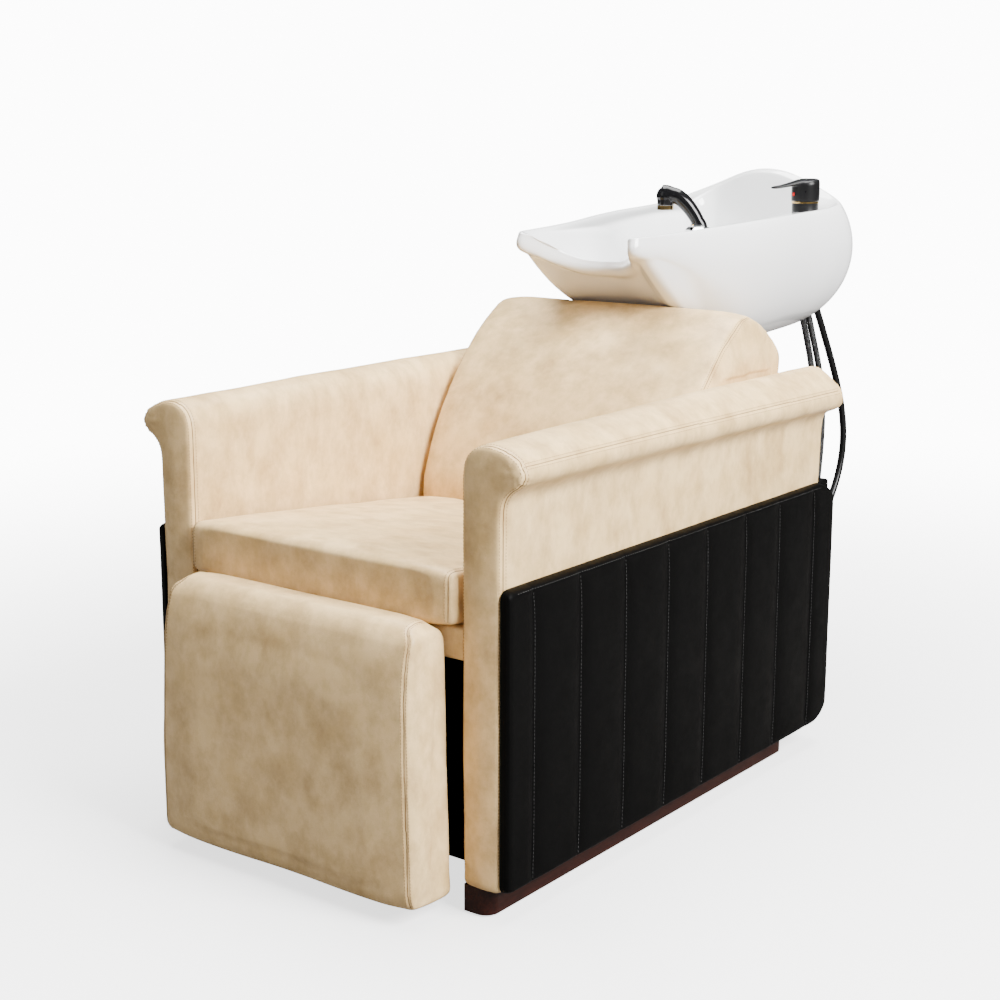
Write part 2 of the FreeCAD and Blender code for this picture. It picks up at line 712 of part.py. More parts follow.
def station_points(x, depth, height, front):
    """One cross-section of the basin's wall, from the outside base over the rim to the inside floor."""
    angle = math.atan2(x, depth - MIDDLE_DEPTH)
    base = ellipse_point(BASE_CENTRE, BASE_HALF, angle)
    floor = ellipse_point(FLOOR_CENTRE, FLOOR_HALF, angle)
    base_z, floor_z = size("bowl_base"), size("bowl_floor")
    points = []
    for step, (front_out, front_wide, front_up) in zip(WALL_STEPS, FRONT_WALL):
        turn = step * BULGE_ANGLE
        side_out = math.sin(turn) / math.sin(BULGE_ANGLE)
        side_up = (1 - math.cos(turn)) / (1 - math.cos(BULGE_ANGLE))
        out = front * front_out + (1 - front) * side_out
        wide = front * front_wide + (1 - front) * side_out
        up = front * front_up + (1 - front) * side_up
        side, along = base[0] + (x - base[0]) * wide, base[1] + (depth - base[1]) * out
        points.append(Vector(side, along, base_z + (height - base_z) * up))
    rearward = min(max((depth - MIDDLE_DEPTH) / 200, 0), 1)
    inward = Vector(floor[0] - x, (floor[1] - depth) * (0.35 + 0.65 * rearward), 0)
    inward.normalize()
    edge = Vector(x, depth, height) + inward * RIM_WIDTH - Vector(0, 0, RIM_FALL)
    lip = edge + inward * deck_width(depth) - Vector(0, 0, DECK_FALL - RIM_FALL)
    points.append(edge)
    for step in INNER_STEPS:
        side_out, side_up = math.sin(step * math.pi / 2), 1 - math.cos(step * math.pi / 2)
        out = front * step + (1 - front) * side_out
        up = front * step + (1 - front) * side_up
        side, along = floor[0] + (lip.x - floor[0]) * out, floor[1] + (lip.y - floor[1]) * out
        points.append(Vector(side, along, floor_z + (lip.z - floor_z) * up))
    return points


def closed_wire(points):
    curve = Part.BSplineCurve()
    curve.interpolate(points, PeriodicFlag=True)
    return Part.Wire([curve.toShape()])


def basin_sections():
    """The wall's cross-sections all the way round, the second half mirrored."""
    half = [station_points(*station) for station in RIM]
    mirrored = [[Vector(-p.x, p.y, p.z) for p in section] for section in half[1:-1]]
    return half + mirrored[::-1]


def slice_ring(sections, part, height, offset):
    """A level ring at one height through the outer or inner wall, moved inwards by offset."""
    ring_points = []
    for section in sections:
        wall = section[: len(WALL_STEPS)] if part == "outer" else section[:len(WALL_STEPS):-1]
        for low, high in zip(wall, wall[1:]):
            if low.z <= height <= high.z:
                break
        share = min(max((height - low.z) / max(high.z - low.z, 1e-6), 0), 1)
        point = low + (high - low) * share
        ring_points.append(Vector(point.x, point.y, height))
    moved = []
    count = len(ring_points)
    for i, point in enumerate(ring_points):
        tangent = ring_points[(i + 1) % count] - ring_points[i - 1]
        tangent.normalize()
        moved.append(point + Vector(tangent.y, -tangent.x, 0) * offset)
    return closed_wire(moved)


def build_basin():
    """Hollow-cast bowl: a skin outside, a bowl inside, and a cavity between them for the hoses."""
    sections = basin_sections()
    rings = [closed_wire([section[i] for section in sections]) for i in range(len(sections[0]))]
    rim = len(WALL_STEPS) - 1
    zones = [rings[: rim + 1], rings[rim : rim + 3], rings[rim + 2 :]]
    faces = [face for zone in zones for face in Part.makeLoft(zone, False).Faces]
    faces += [Part.Face(rings[0]), Part.Face(rings[-1])]
    shell = Part.makeShell(faces)
    shell.sewShape()
    bowl = Part.makeSolid(Part.Shell(shell.Faces))
    if bowl.Volume < 0:
        bowl.reverse()

    skin = Part.makeLoft([slice_ring(sections, "outer", z, -SKIN_THICK) for z in CAVITY_LEVELS], True)
    core = Part.makeLoft([slice_ring(sections, "inner", z, CORE_THICK) for z in CORE_LEVELS], True)
    bowl = bowl.cut(skin.cut(core))

    low = Vector(0, size("waste_depth"), size("bowl_base") - 20)
    tools = [Part.makeCylinder(size("waste_bore"), 60, low)]
    for name, seat_radius in (("spray", 22.5), ("mixer", 24.5)):
        x, depth = size(f"{name}_side"), size(f"{name}_depth")
        tools.append(Part.makeCylinder(size(f"{name}_hole"), 60, Vector(x, depth, size("deck_under") - 10)))
        tools.append(Part.makeCylinder(seat_radius, 60, Vector(x, depth, size(f"{name}_deck"))))
    for x, depth, radius in HOSE_OPENINGS:
        tools.append(Part.makeCylinder(radius, 110, Vector(x, depth, 626)))
    bowl = bowl.cut(tools)
    below = Part.makeBox(500, 800, 60, Vector(-250, 500, size("bowl_base") - 60))
    bowl = bowl.cut(below)
    if len(bowl.Solids) != 1:
        raise ValueError("the basin fell apart")
    return plain_feature(bowl.Solids[0], "basin")


def build_waste():
    """Waste flange with its lift-out strainer, gasket, nut and bottle trap."""
    place = {"depth": "waste_depth"}
    flange = [
        ("19", "bowl_floor - 50"),
        ("waste_bore - 0.5", "bowl_floor - 50"),
        ("waste_bore - 0.5", "bowl_floor"),
        ("waste_bore + 12", "bowl_floor"),
        ("waste_bore + 12", "bowl_floor + 1.5"),
        ("waste_bore - 1", "bowl_floor + 3.5"),
        ("19", "bowl_floor + 2"),
    ]
    finish(turned(flange), "waste_flange", **place)
    gasket = ring("waste_bore + 0.2", "waste_bore + 10", "bowl_base - 4", "bowl_base")
    finish(gasket, "waste_gasket", **place)
    nut = ring("waste_bore - 0.4", "waste_bore + 9", "bowl_base - 15", "bowl_base - 4")
    finish(nut, "waste_nut", **place)

    strainer = ring("0", "18.6", "bowl_floor - 2", "bowl_floor + 1")
    sketch = new_sketch(strainer, "XY_Plane", "bowl_floor + 1")
    draw_circle(sketch, ("12", "0"), "2.4")
    pocket = strainer.newObject("PartDesign::Pocket", "drain_hole")
    pocket.Profile = sketch
    bind(pocket, Length="4")
    doc.recompute()
    pattern = strainer.newObject("PartDesign::PolarPattern", "drain_holes")
    pattern.Originals = [pocket]
    pattern.Axis = (sketch, ["N_Axis"])
    pattern.Angle = 360.0
    pattern.Occurrences = 8
    strainer.Tip = pattern
    doc.recompute()
    if pattern.Shape.Volume >= pocket.BaseFeature.Shape.Volume:
        raise ValueError("the strainer's holes cut nothing")
    finish(strainer, "strainer", **place)

    top, bottom = "bowl_floor - 50", "bowl_floor - 150"
    cup = [
        ("0", bottom),
        ("27", bottom),
        ("30", f"{bottom} + 3"),
        ("30", f"{top} + 12"),
        ("waste_bore - 0.4", f"{top} + 12"),
        ("waste_bore - 0.4", f"{top}"),
        ("27", f"{top}"),
        ("27", f"{bottom} + 3"),
        ("0", f"{bottom} + 3"),
    ]
    body = turned(cup)
    outlet_hole = doc.addObject("Part::Cylinder", "outlet_hole")
    outlet_hole.Placement = Placement(Vector(0, 0, 0), Rotation(Vector(1, 0, 0), -90))
    bind(outlet_hole, Radius="20", Height="40")
    bind(outlet_hole, **{"Placement.Base.z": f"{top} - 32"})
    finish(cut(body, outlet_hole), "trap_cup", **place)
    outlet = [("18", "0"), ("19.5", "0"), ("19.5", "12"), ("19.9", "12"), ("19.9", "72"), ("18", "72")]
    pipe = turned(outlet)
    backwards = Rotation(Vector(1, 0, 0), -90)
    finish(pipe, "trap_outlet", depth="waste_depth + 22.5", z=f"{top} - 32", turn=backwards)


def build_spray_holder():
    """Escutcheon, liner and the hand spray that lifts out of them."""
    place = {"x": "spray_side", "depth": "spray_depth", "z": "spray_deck"}
    rosette = [("14.2", "0"), ("22", "0"), ("22", "2.5"), ("17", "7"), ("14.2", "7")]
    finish(turned(rosette), "spray_escutcheon", **place)
    finish(ring("9", "13.8", "-24", "2"), "spray_liner", **place)
    collar = [("0", "-16"), ("8.8", "-16"), ("8.8", "2.2")]
    collar += [("13.6", "2.2"), ("13.6", "9"), ("12.4", "11"), ("0", "11")]
    finish(turned(collar), "spray_collar", **place)

    foot = Vector(size("spray_side"), size("spray_depth"), size("spray_deck") + 11)
    neck, bend, head = (foot + Vector(*step) for step in ((0, 0, 14), (-14, -6, 36), SPRAY_HEAD))
    tube = route_tube([foot, neck, bend, head], 12.0)
    ball = Part.makeSphere(15.5, head)
    spout = Part.makeCylinder(13, 16, head, Vector(0, 0, -1))
    handle = tube.fuse([ball, spout]).removeSplitter()
    plain_feature(handle, "spray_handle")
    outlet = {"x": f"spray_side + ({SPRAY_HEAD[0]})", "depth": f"spray_depth + ({SPRAY_HEAD[1]})"}
    low = f"spray_deck + 11 + ({SPRAY_HEAD[2]}) - 16"
    finish(ring("10.6", "13.4", "-7", "0"), "spray_ring", z=low, **outlet)
    finish(ring("0", "10.5", "-6", "0"), "spray_face", z=low, **outlet)


def build_mixer():
    """Single-lever mixer: body, gold ring, turning stem, lifting lever cap and its index."""
    turn = Rotation(Vector(0, 0, 1), size("lever_angle"))
    place = {"x": "mixer_side", "depth": "mixer_depth", "z": "mixer_deck", "turn": turn}
    shank_low = "deck_under - nut_thick - mixer_deck"
    body = [
        ("0", shank_low),
        ("mixer_hole - 0.3", shank_low),
        ("mixer_hole - 0.3", "2"),
        ("mixer_radius", "2"),
        ("mixer_radius", "18"),
        ("19", "18"),
        ("19", "26"),
        ("0", "26"),
    ]
    finish(turned(body), "mixer_body", **place)
    finish(ring("mixer_hole", "mixer_radius - 1", "0", "2"), "mixer_washer", **place)
    finish(ring("19.1", "mixer_radius + 0.8", "18", "21"), "mixer_ring", **place)
    finish(ring("0", "8", "26.2", "42"), "mixer_stem", **place)
    cap = turned([
        ("20.8", "21.4"),
        ("cap_radius", "21.4"),
        ("cap_radius", "52"),
        ("cap_radius - 3", "57"),
        ("0", "59"),
        ("0", "47"),
        ("20.8", "47"),
    ])
    blade = [("-21.2", "45"), ("-66", "37"), ("-71", "38.5"), ("-70", "42"), ("-21.2", "56")]
    lever = profile_body("XZ_Plane", blade, "16", symmetric=True)
    finish(fused(cap, lever), "mixer_lever", **place)
    index = doc.addObject("Part::Cylinder", "index")
    index.Placement = Placement(Vector(0, 0, 0), Rotation(Vector(0, 1, 0), -90))
    bind(index, Radius="3", Height="1.2")
    bind(index, **{"Placement.Base.x": "-(cap_radius + 0.05)", "Placement.Base.z": "34"})
    finish(group(index), "mixer_index", **place)

    nuts = []
    low = "deck_under - nut_thick"
    for name, inner, outer in (("spray", "14", "18"), ("mixer", "14.3", "18.5")):
        x, depth = f"{name}_side", f"{name}_depth"
        nut = upright_cylinder(outer, "nut_thick", x, depth, low)
        nuts.append(cut(nut, upright_cylinder(inner, "12", x, depth, f"{low} - 1")))
    finish(group(*nuts), "deck_nuts")
    tails = []
    for x, depth in TAILS:
        place = (f"mixer_side + ({x})", f"mixer_depth + ({depth})", "ferrule_top")
        tails.append(upright_cylinder("4.5", f"{low} - ferrule_top", *place))
    finish(group(*tails), "mixer_tails")


# ---- hoses -----------------------------------------------------------------------------------------


def route_tube(points, radius, name=None):
    """A tube along straight runs joined by tangent arcs, each as large as its two runs allow."""
    edges, here, radii = [], points[0], []
    for before, corner, after in zip(points, points[1:], points[2:]):
        back, on = (before - corner), (after - corner)
        run = min(back.Length, on.Length)
        back.normalize()
        on.normalize()
        half_turn = (math.pi - back.getAngle(on)) / 2
        arc_radius = 0.45 * run / math.tan(half_turn)
        radii.append(arc_radius)
        start, end = corner + back * 0.45 * run, corner + on * 0.45 * run
        to_centre = back + on
        to_centre.normalize()
        middle = corner + to_centre * (arc_radius / math.cos(half_turn) - arc_radius)
        edges += [Part.LineSegment(here, start).toShape(), Part.Arc(start, middle, end).toShape()]
        here = end
    edges.append(Part.LineSegment(here, points[-1]).toShape())
    path = Part.Wire(edges)
    section = Part.Wire([Part.Circle(points[0], points[1] - points[0], radius).toShape()])
    tube = path.makePipeShell([section], True, False, 2)
    expected = math.pi * radius**2 * path.Length
    if abs(tube.Volume / expected - 1) > 0.01:
        raise ValueError(f"the tube of {name} has the wrong volume")
    if name:
        print(name, "length", round(path.Length), "radii", [round(value) for value in radii])
    return tube


def build_hoses():
    """The hand spray's hose, the two supply hoses, their ferrules and the unions at the lower ends."""
    hoses = (
        ("shower_hose", SHOWER_ROUTE, "shower_radius"),
        ("supply_hose_hot", HOT_ROUTE, "supply_radius"),
        ("supply_hose_cold", COLD_ROUTE, "supply_radius"),
    )
    ferrules, unions = [], []
    for name, route, radius in hoses:
        plain_feature(route_tube([Vector(*point) for point in route], size(radius), name), name)
        x, depth = (str(value) for value in route[0][:2])
        ferrule = upright_cylinder(f"{radius} + 1.2", "ferrule_top - ferrule_low", x, depth, "ferrule_low")
        ferrules.append(ferrule)
    finish(group(*ferrules), "hose_ferrules")
    for route in (HOT_ROUTE, COLD_ROUTE):
        x, depth, z = (str(value) for value in route[-1])
        hexagon = doc.addObject("Part::Prism", "hexagon")
        hexagon.Polygon = 6
        bind(hexagon, Circumradius="14.5", Height="25")
        bind(hexagon, **{"Placement.Base.x": x, "Placement.Base.y": depth, "Placement.Base.z": f"{z} - 25"})
        unions.append(cut(hexagon, upright_cylinder("9.3", "12", x, depth, f"{z} - 25")))
    finish(group(*unions), "supply_unions")


for side_name, side in SIDES:
    build_arm(side_name, side)
    build_side_panel(side_name, side)
    build_rail(side_name, side)
    build_stile(side_name, side)
build_glides()
build_rear_panels()
build_seat()
build_back()
build_leg_rest()
build_leg_hinges()
build_post()
build_saddle()
build_basin()
build_waste()
build_spray_holder()
build_mixer()
build_hoses()

doc.recompute()
os.makedirs("parts", exist_ok=True)
for thing in doc.Objects:
    if "Invalid" in thing.State or "Error" in thing.State:
        raise RuntimeError(f"{thing.Label} failed: {thing.State}")
for thing in finished:
    if thing.Shape.isNull() or not thing.Shape.isValid():
        raise RuntimeError(f"{thing.Label} has no valid shape")
    thing.Shape.exportStep(f"parts/{thing.Label}.step")
print(len(finished), "sub-parts")
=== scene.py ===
import math

import bmesh
import bpy
import numpy as np
from mathutils import Matrix, Vector, noise
from mathutils.bvhtree import BVHTree


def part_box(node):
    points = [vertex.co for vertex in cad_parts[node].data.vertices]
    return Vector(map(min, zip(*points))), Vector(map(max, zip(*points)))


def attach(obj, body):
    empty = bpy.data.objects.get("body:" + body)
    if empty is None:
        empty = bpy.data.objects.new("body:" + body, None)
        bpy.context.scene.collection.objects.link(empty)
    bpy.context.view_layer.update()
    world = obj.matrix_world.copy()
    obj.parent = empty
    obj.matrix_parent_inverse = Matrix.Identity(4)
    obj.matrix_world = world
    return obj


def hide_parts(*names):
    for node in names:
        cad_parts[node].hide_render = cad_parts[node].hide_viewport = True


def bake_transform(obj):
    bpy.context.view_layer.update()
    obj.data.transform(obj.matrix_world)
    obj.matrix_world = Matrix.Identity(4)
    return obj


# Looks of the shampoo backwash unit: every soft part, the basin, the fittings and the hoses are made here
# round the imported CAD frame. Metres; depth is measured from the front face of the arms towards the basin.

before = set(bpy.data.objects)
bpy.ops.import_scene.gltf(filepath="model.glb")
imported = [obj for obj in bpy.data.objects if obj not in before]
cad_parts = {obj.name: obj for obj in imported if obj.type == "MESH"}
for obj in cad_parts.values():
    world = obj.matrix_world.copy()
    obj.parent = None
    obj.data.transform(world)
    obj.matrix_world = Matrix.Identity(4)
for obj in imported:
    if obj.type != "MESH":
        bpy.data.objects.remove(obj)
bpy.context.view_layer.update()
scene = bpy.context.scene
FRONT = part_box("arm_left")[0].y
SIDES = (("left", -1), ("right", 1))


def P(x, depth, z):
    """A point from millimetres: x, depth behind the arms' front face, height."""
    return Vector((x / 1000, FRONT + depth / 1000, z / 1000))


def upright(u, v, w):
    """Places a point of an outline of depths and heights at w to the side."""
    return P(w, u, v)


def unit(value):
    """The value kept between 0 and 1."""
    return min(max(value, 0), 1)


def around(count):
    """Evenly spaced angles of one turn."""
    return [2 * math.pi * k / count for k in range(count)]


# ---- camera ----------------------------------------------------------------------------------------

camera = bpy.data.objects.new("camera", bpy.data.cameras.new("camera"))
scene.collection.objects.link(camera)
scene.camera = camera
camera.data.lens = 64.4
camera.data.sensor_width = 36.0
camera.location = P(1642.4, -1761.7, 1060.3)
azimuth, elevation = math.radians(37.04), math.radians(12.29)
level = math.cos(elevation)
looking = Vector((-math.sin(azimuth) * level, math.cos(azimuth) * level, -math.sin(elevation)))
facing = looking.to_track_quat("-Z", "Y").to_matrix().to_4x4()
roll = Matrix.Rotation(math.radians(0.16), 4, "Z")
camera.rotation_euler = (facing @ roll).to_euler()

# ---- materials -------------------------------------------------------------------------------------


class Nodes:
    """A node material under construction."""

    def __init__(self, name):
        self.material = bpy.data.materials.new(name)
        self.material.use_nodes = True
        self.tree = self.material.node_tree
        self.tree.nodes.clear()
        self.shader = self.add("ShaderNodeBsdfPrincipled")
        self.output = self.add("ShaderNodeOutputMaterial")
        self.join(self.shader.outputs[0], self.output.inputs[0])
        self.place = self.add("ShaderNodeTexCoord").outputs["Object"]

    def add(self, kind, inputs=None, **settings):
        node = self.tree.nodes.new(kind)
        for name, value in settings.items():
            setattr(node, name, value)
        for name, value in (inputs or {}).items():
            self.feed(value, node.inputs[name])
        return node

    def join(self, source, target):
        self.tree.links.new(source, target)

    def feed(self, value, socket):
        """Sets an input to a number or a colour, or joins an output to it."""
        if isinstance(value, (int, float)):
            socket.default_value = value if socket.type == "VALUE" else (value, value, value, 1)
        elif isinstance(value, tuple):
            socket.default_value = (*value, 1) if socket.type == "RGBA" else value
        else:
            self.join(value, socket)

    def set(self, **sockets):
        for name, value in sockets.items():
            self.shader.inputs[name.replace("_", " ")].default_value = value
        return self

    def scaled(self, factors):
        return self.add("ShaderNodeMapping", {"Scale": factors, "Vector": self.place}).outputs[0]

    def noise(self, scale, detail=4.0, rough=0.55, place=None):
        inputs = {"Scale": scale, "Detail": detail, "Roughness": rough, "Vector": place or self.place}
        return self.add("ShaderNodeTexNoise", inputs).outputs["Fac"]

    def cells(self, scale):
        inputs = {"Scale": scale, "Vector": self.place}
        return self.add("ShaderNodeTexVoronoi", inputs, feature="F1").outputs["Distance"]

    def ramp(self, value, stops, kind="LINEAR"):
        node = self.add("ShaderNodeValToRGB")
        ramp = node.color_ramp
        ramp.interpolation = kind
        while len(ramp.elements) < len(stops):
            ramp.elements.new(0.5)
        for element, (at, colour) in zip(ramp.elements, stops):
            element.position = at
            element.color = (*colour, 1) if isinstance(colour, tuple) else (colour, colour, colour, 1)
        self.join(value, node.inputs["Fac"])
        return node.outputs["Color"]

    def mix(self, factor, first, second, kind="MIX"):
        node = self.add("ShaderNodeMix", data_type="RGBA", blend_type=kind)
        for value, socket in ((factor, 0), (first, 6), (second, 7)):
            self.feed(value, node.inputs[socket])
        return node.outputs[2]

    def maths(self, operation, first, second):
        return self.add("ShaderNodeMath", {0: first, 1: second}, operation=operation).outputs[0]

    def bump(self, height, strength, distance, under=None):
        node = self.add("ShaderNodeBump", {"Strength": strength, "Distance": distance, "Height": height})
        if under is not None:
            self.join(under, node.inputs["Normal"])
        self.join(node.outputs[0], self.shader.inputs["Normal"])
        return node.outputs[0]

    def colour(self, socket):
        self.join(socket, self.shader.inputs["Base Color"])

    def roughness(self, socket):
        self.join(socket, self.shader.inputs["Roughness"])


def leatherette(name, light, middle, dark, blotch, rough, sheen):
    """Coated cover: cloudy tone, soft darker smudges, fine pebble grain and faint creases."""
    m = Nodes(name)
    clouds = m.noise(9.0, 5, 0.6)
    smudges = m.noise(21.0, 7, 0.66, m.scaled((1.0, 1.3, 0.85)))
    veins = m.noise(34.0, 7, 0.72, m.scaled((1.0, 1.3, 0.6)))
    vein = m.ramp(veins, [(0.46, 0.0), (0.5, 0.22), (0.54, 0.0)])
    base = m.mix(vein, m.ramp(clouds, [(0.3, middle), (0.52, light), (0.75, middle)]), light)
    smudge = m.ramp(smudges, [(0.40, 0.0), (0.7, blotch)])
    grain_tone = m.ramp(m.noise(520.0, 2, 0.5), [(0.3, 0.94), (0.7, 1.0)])
    m.colour(m.mix(1.0, m.mix(smudge, base, dark), grain_tone, "MULTIPLY"))
    m.roughness(m.ramp(m.noise(22.0, 4, 0.6), [(0.3, rough - 0.05), (0.7, rough + 0.07)]))
    pebble = m.bump(m.cells(900.0), 0.22, 0.0004)
    soft = m.bump(m.noise(55.0, 3, 0.5), 0.16, 0.0016, pebble)
    m.bump(m.noise(12.0, 2, 0.45), 0.12, 0.006, soft)
    m.set(Sheen_Weight=sheen, Sheen_Roughness=0.4, Specular_IOR_Level=0.35 if sheen else 0.045)
    return m.material


def thread(name, tone):
    m = Nodes(name)
    twist = m.noise(2600.0, 2, 0.5)
    m.colour(m.ramp(twist, [(0.3, tuple(c * 0.75 for c in tone)), (0.7, tone)]))
    m.bump(twist, 0.4, 0.0003)
    m.set(Roughness=0.75, Sheen_Weight=0.05, Specular_IOR_Level=0.2)
    return m.material


def metal(name, tone, rough, spread=0.05, brushed=None):
    m = Nodes(name)
    smears = m.noise(60.0, 4, 0.6)
    m.colour(m.ramp(smears, [(0.3, tuple(c * 0.95 for c in tone)), (0.7, tone)]))
    streaks = m.noise(240.0, 3, 0.6, m.scaled(brushed)) if brushed else m.noise(180.0, 3, 0.5)
    m.roughness(m.ramp(streaks, [(0.3, max(rough - spread, 0.02)), (0.7, rough + spread)]))
    m.bump(streaks, 0.08 if brushed else 0.02, 0.0002)
    m.set(Metallic=1.0)
    return m.material


def smooth_coat(name, tone, rough, coat=0.0, orange=0.03, grain=300.0):
    """Paint, plastic, glaze or rubber: slight tone and roughness drift, and a faint surface texture."""
    m = Nodes(name)
    drift = m.noise(9.0, 3, 0.5)
    m.colour(m.ramp(drift, [(0.3, tuple(c * 0.96 for c in tone)), (0.7, tone)]))
    m.roughness(m.ramp(m.noise(35.0, 4, 0.6), [(0.3, max(rough - 0.03, 0.02)), (0.7, rough + 0.04)]))
    m.bump(m.noise(grain, 2, 0.5), orange, 0.0003)
    m.set(Coat_Weight=coat, Coat_Roughness=0.05, Specular_IOR_Level=0.5 if max(tone) > 0.03 else 0.2)
    return m.material


def timber(name, light, dark, rough, coat, along):
    """Wood with long grain streaks, slow colour bands and pores."""
    m = Nodes(name)
    streak = m.noise(26.0, 6, 0.65, m.scaled(along))
    fine = m.noise(190.0, 4, 0.6, m.scaled(along))
    streaks = m.ramp(streak, [(0.3, dark), (0.66, light)])
    m.colour(m.mix(m.ramp(fine, [(0.4, 0.0), (0.75, 0.55)]), streaks, dark))
    m.roughness(m.ramp(fine, [(0.3, rough), (0.7, rough + 0.12)]))
    m.bump(fine, 0.15, 0.0004)
    m.set(Coat_Weight=coat, Coat_Roughness=0.12, Specular_IOR_Level=0.2)
    return m.material


def braid(name):
    """Woven sleeve: two crossing sets of fine diagonal bands with bright strands among black ones."""
    m = Nodes(name)
    waves = []
    for lean in (1, -1):
        turned = m.add("ShaderNodeMapping", {"Rotation": (0, lean * 0.75, lean * 0.5), "Vector": m.place})
        inputs = {"Scale": 190.0, "Vector": turned.outputs[0]}
        waves.append(m.add("ShaderNodeTexWave", inputs, bands_direction="Z").outputs["Fac"])
    weave = m.maths("MAXIMUM", *waves)
    strands = m.maths("MULTIPLY", weave, m.noise(340.0, 2, 0.5))
    black, grey, bright = (0.006, 0.006, 0.0065), (0.03, 0.03, 0.032), (0.3, 0.3, 0.31)
    m.colour(m.ramp(strands, [(0.42, black), (0.58, grey), (0.7, bright)]))
    m.bump(weave, 0.6, 0.0008)
    m.set(Roughness=0.38, Metallic=0.35)
    return m.material


CREAM = leatherette("cream_leatherette", light=(0.79, 0.56, 0.275), middle=(0.67, 0.455, 0.195),
                    dark=(0.33, 0.195, 0.07), blotch=0.62, rough=0.40, sheen=0.03)
BLACK = leatherette("black_leatherette", light=(0.0012, 0.0012, 0.0012), middle=(0.0008, 0.0008, 0.0008),
                    dark=(0.0016, 0.0016, 0.0016), blotch=0.4, rough=0.52, sheen=0.0)
CREAM_THREAD = thread("cream_thread", (0.36, 0.21, 0.09))
# Dark brown of the seam lines: painted shade of the narrow seam grooves, which the cover meshes are too
# coarse to shade themselves.
SEAM_SHADE = thread("seam_fold_shade", (0.16, 0.085, 0.035))
GREY_THREAD = thread("grey_thread", (0.05, 0.05, 0.05))
CERAMIC = smooth_coat("white_glaze", (0.86, 0.865, 0.865), 0.09, 0.6, 0.015, 40.0)
CHROME = metal("chrome_plate", (0.80, 0.81, 0.82), 0.06, 0.03)
GOLD = metal("gold_plate", (0.86, 0.60, 0.24), 0.16, 0.05)
ZINC = metal("zinc_steel", (0.55, 0.55, 0.54), 0.36, 0.08, (1.0, 1.0, 0.08))
FITTING = metal("fitting_brass", (0.70, 0.56, 0.33), 0.3, 0.08, (1.0, 1.0, 0.1))
GLOSS_BLACK = smooth_coat("gloss_black", (0.004, 0.004, 0.0045), 0.12, 0.25, 0.01)
SATIN_BLACK = smooth_coat("satin_black", (0.006, 0.006, 0.0063), 0.30, 0.0, 0.05, 900.0)
POWDER = smooth_coat("powder_coat", (0.020, 0.020, 0.021), 0.42, 0.0, 0.22, 700.0)
HOSE = smooth_coat("hose_rubber", (0.004, 0.004, 0.0042), 0.3, 0.0, 0.02)
RUBBER = smooth_coat("black_rubber", (0.022, 0.022, 0.022), 0.7, 0.0, 0.2)
WHITE_PLASTIC = smooth_coat("white_plastic", (0.78, 0.78, 0.76), 0.38)
RED = smooth_coat("red_index", (0.70, 0.02, 0.015), 0.2, 0.5)
WOOD = timber("stained_wood", (0.030, 0.007, 0.004), (0.008, 0.002, 0.0015), 0.34, 0.03, (14.0, 1.0, 9.0))
PLY = timber("plywood", (0.60, 0.44, 0.27), (0.44, 0.30, 0.17), 0.6, 0.0, (1.0, 9.0, 12.0))
BRAID = braid("braided_sleeve")

for material, names in (
    (WOOD, ("floor_rail_left", "floor_rail_right")),
    (PLY, ("arm_board_left", "arm_board_right", "seat_board", "back_board", "leg_rest_board")),
    (PLY, ("cross_rails", "rear_stile_left", "rear_stile_right")),
    (POWDER, ("rear_post", "post_foot", "tie_bars", "tilt_yoke", "basin_saddle", "leg_hinge_bars")),
    (POWDER, ("leg_hinge_clevises",)),
    (ZINC, ("leg_hinge_pins", "tilt_pin", "saddle_fasteners")),
    (CHROME, ("waste_flange", "strainer", "spray_escutcheon", "spray_collar", "spray_face")),
    (RUBBER, ("saddle_pad", "waste_gasket", "mixer_washer", "rail_glides", "spray_liner")),
    (WHITE_PLASTIC, ("trap_cup", "trap_outlet", "waste_nut")),
    (SATIN_BLACK, ("mixer_body", "mixer_lever")),
    (GLOSS_BLACK, ("spray_handle",)),
    (GOLD, ("spray_ring", "mixer_ring")),
    (RED, ("mixer_index",)),
    (FITTING, ("mixer_stem", "deck_nuts", "mixer_tails", "hose_ferrules", "supply_unions")),
    (BLACK, ("kick_board",)),
    (CREAM, ("front_rail",)),
    (CERAMIC, ("basin",)),
):
    for name in names:
        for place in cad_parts[name].material_slots:
            place.material = material

# ---- mesh tools ------------------------------------------------------------------------------------


def new_object(name, points, faces, material, body=None):
    mesh = bpy.data.meshes.new(name)
    mesh.from_pydata([tuple(p) for p in points], [], [tuple(f) for f in faces])
    mesh.materials.append(material)
    for polygon in mesh.polygons:
        polygon.use_smooth = True
    mesh.update()
    piece = bpy.data.objects.new(name, mesh)
    scene.collection.objects.link(piece)
    if body:
        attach(piece, body)
    return piece


def loft_faces(rows, columns, closed=True):
    faces = []
    for i in range(rows - 1):
        for j in range(columns if closed else columns - 1):
            k = (j + 1) % columns
            faces.append((i * columns + j, i * columns + k, (i + 1) * columns + k, (i + 1) * columns + j))
    return faces


def capped_faces(rows, columns, start=0):
    """The faces of a run of rings, closed at both ends."""
    last = (rows - 1) * columns
    faces = loft_faces(rows, columns)
    faces += [tuple(range(columns))[::-1], tuple(last + k for k in range(columns))]
    return [tuple(start + i for i in face) for face in faces]


def get_points(piece):
    points = np.empty(len(piece.data.vertices) * 3)
    piece.data.vertices.foreach_get("co", points)
    return points.reshape(-1, 3)


def set_points(piece, points):
    piece.data.vertices.foreach_set("co", points.astype(np.float32).ravel())
    piece.data.update()


def get_normals(piece):
    normals = np.empty(len(piece.data.vertices) * 3)
    piece.data.vertex_normals.foreach_get("vector", normals)
    return normals.reshape(-1, 3)


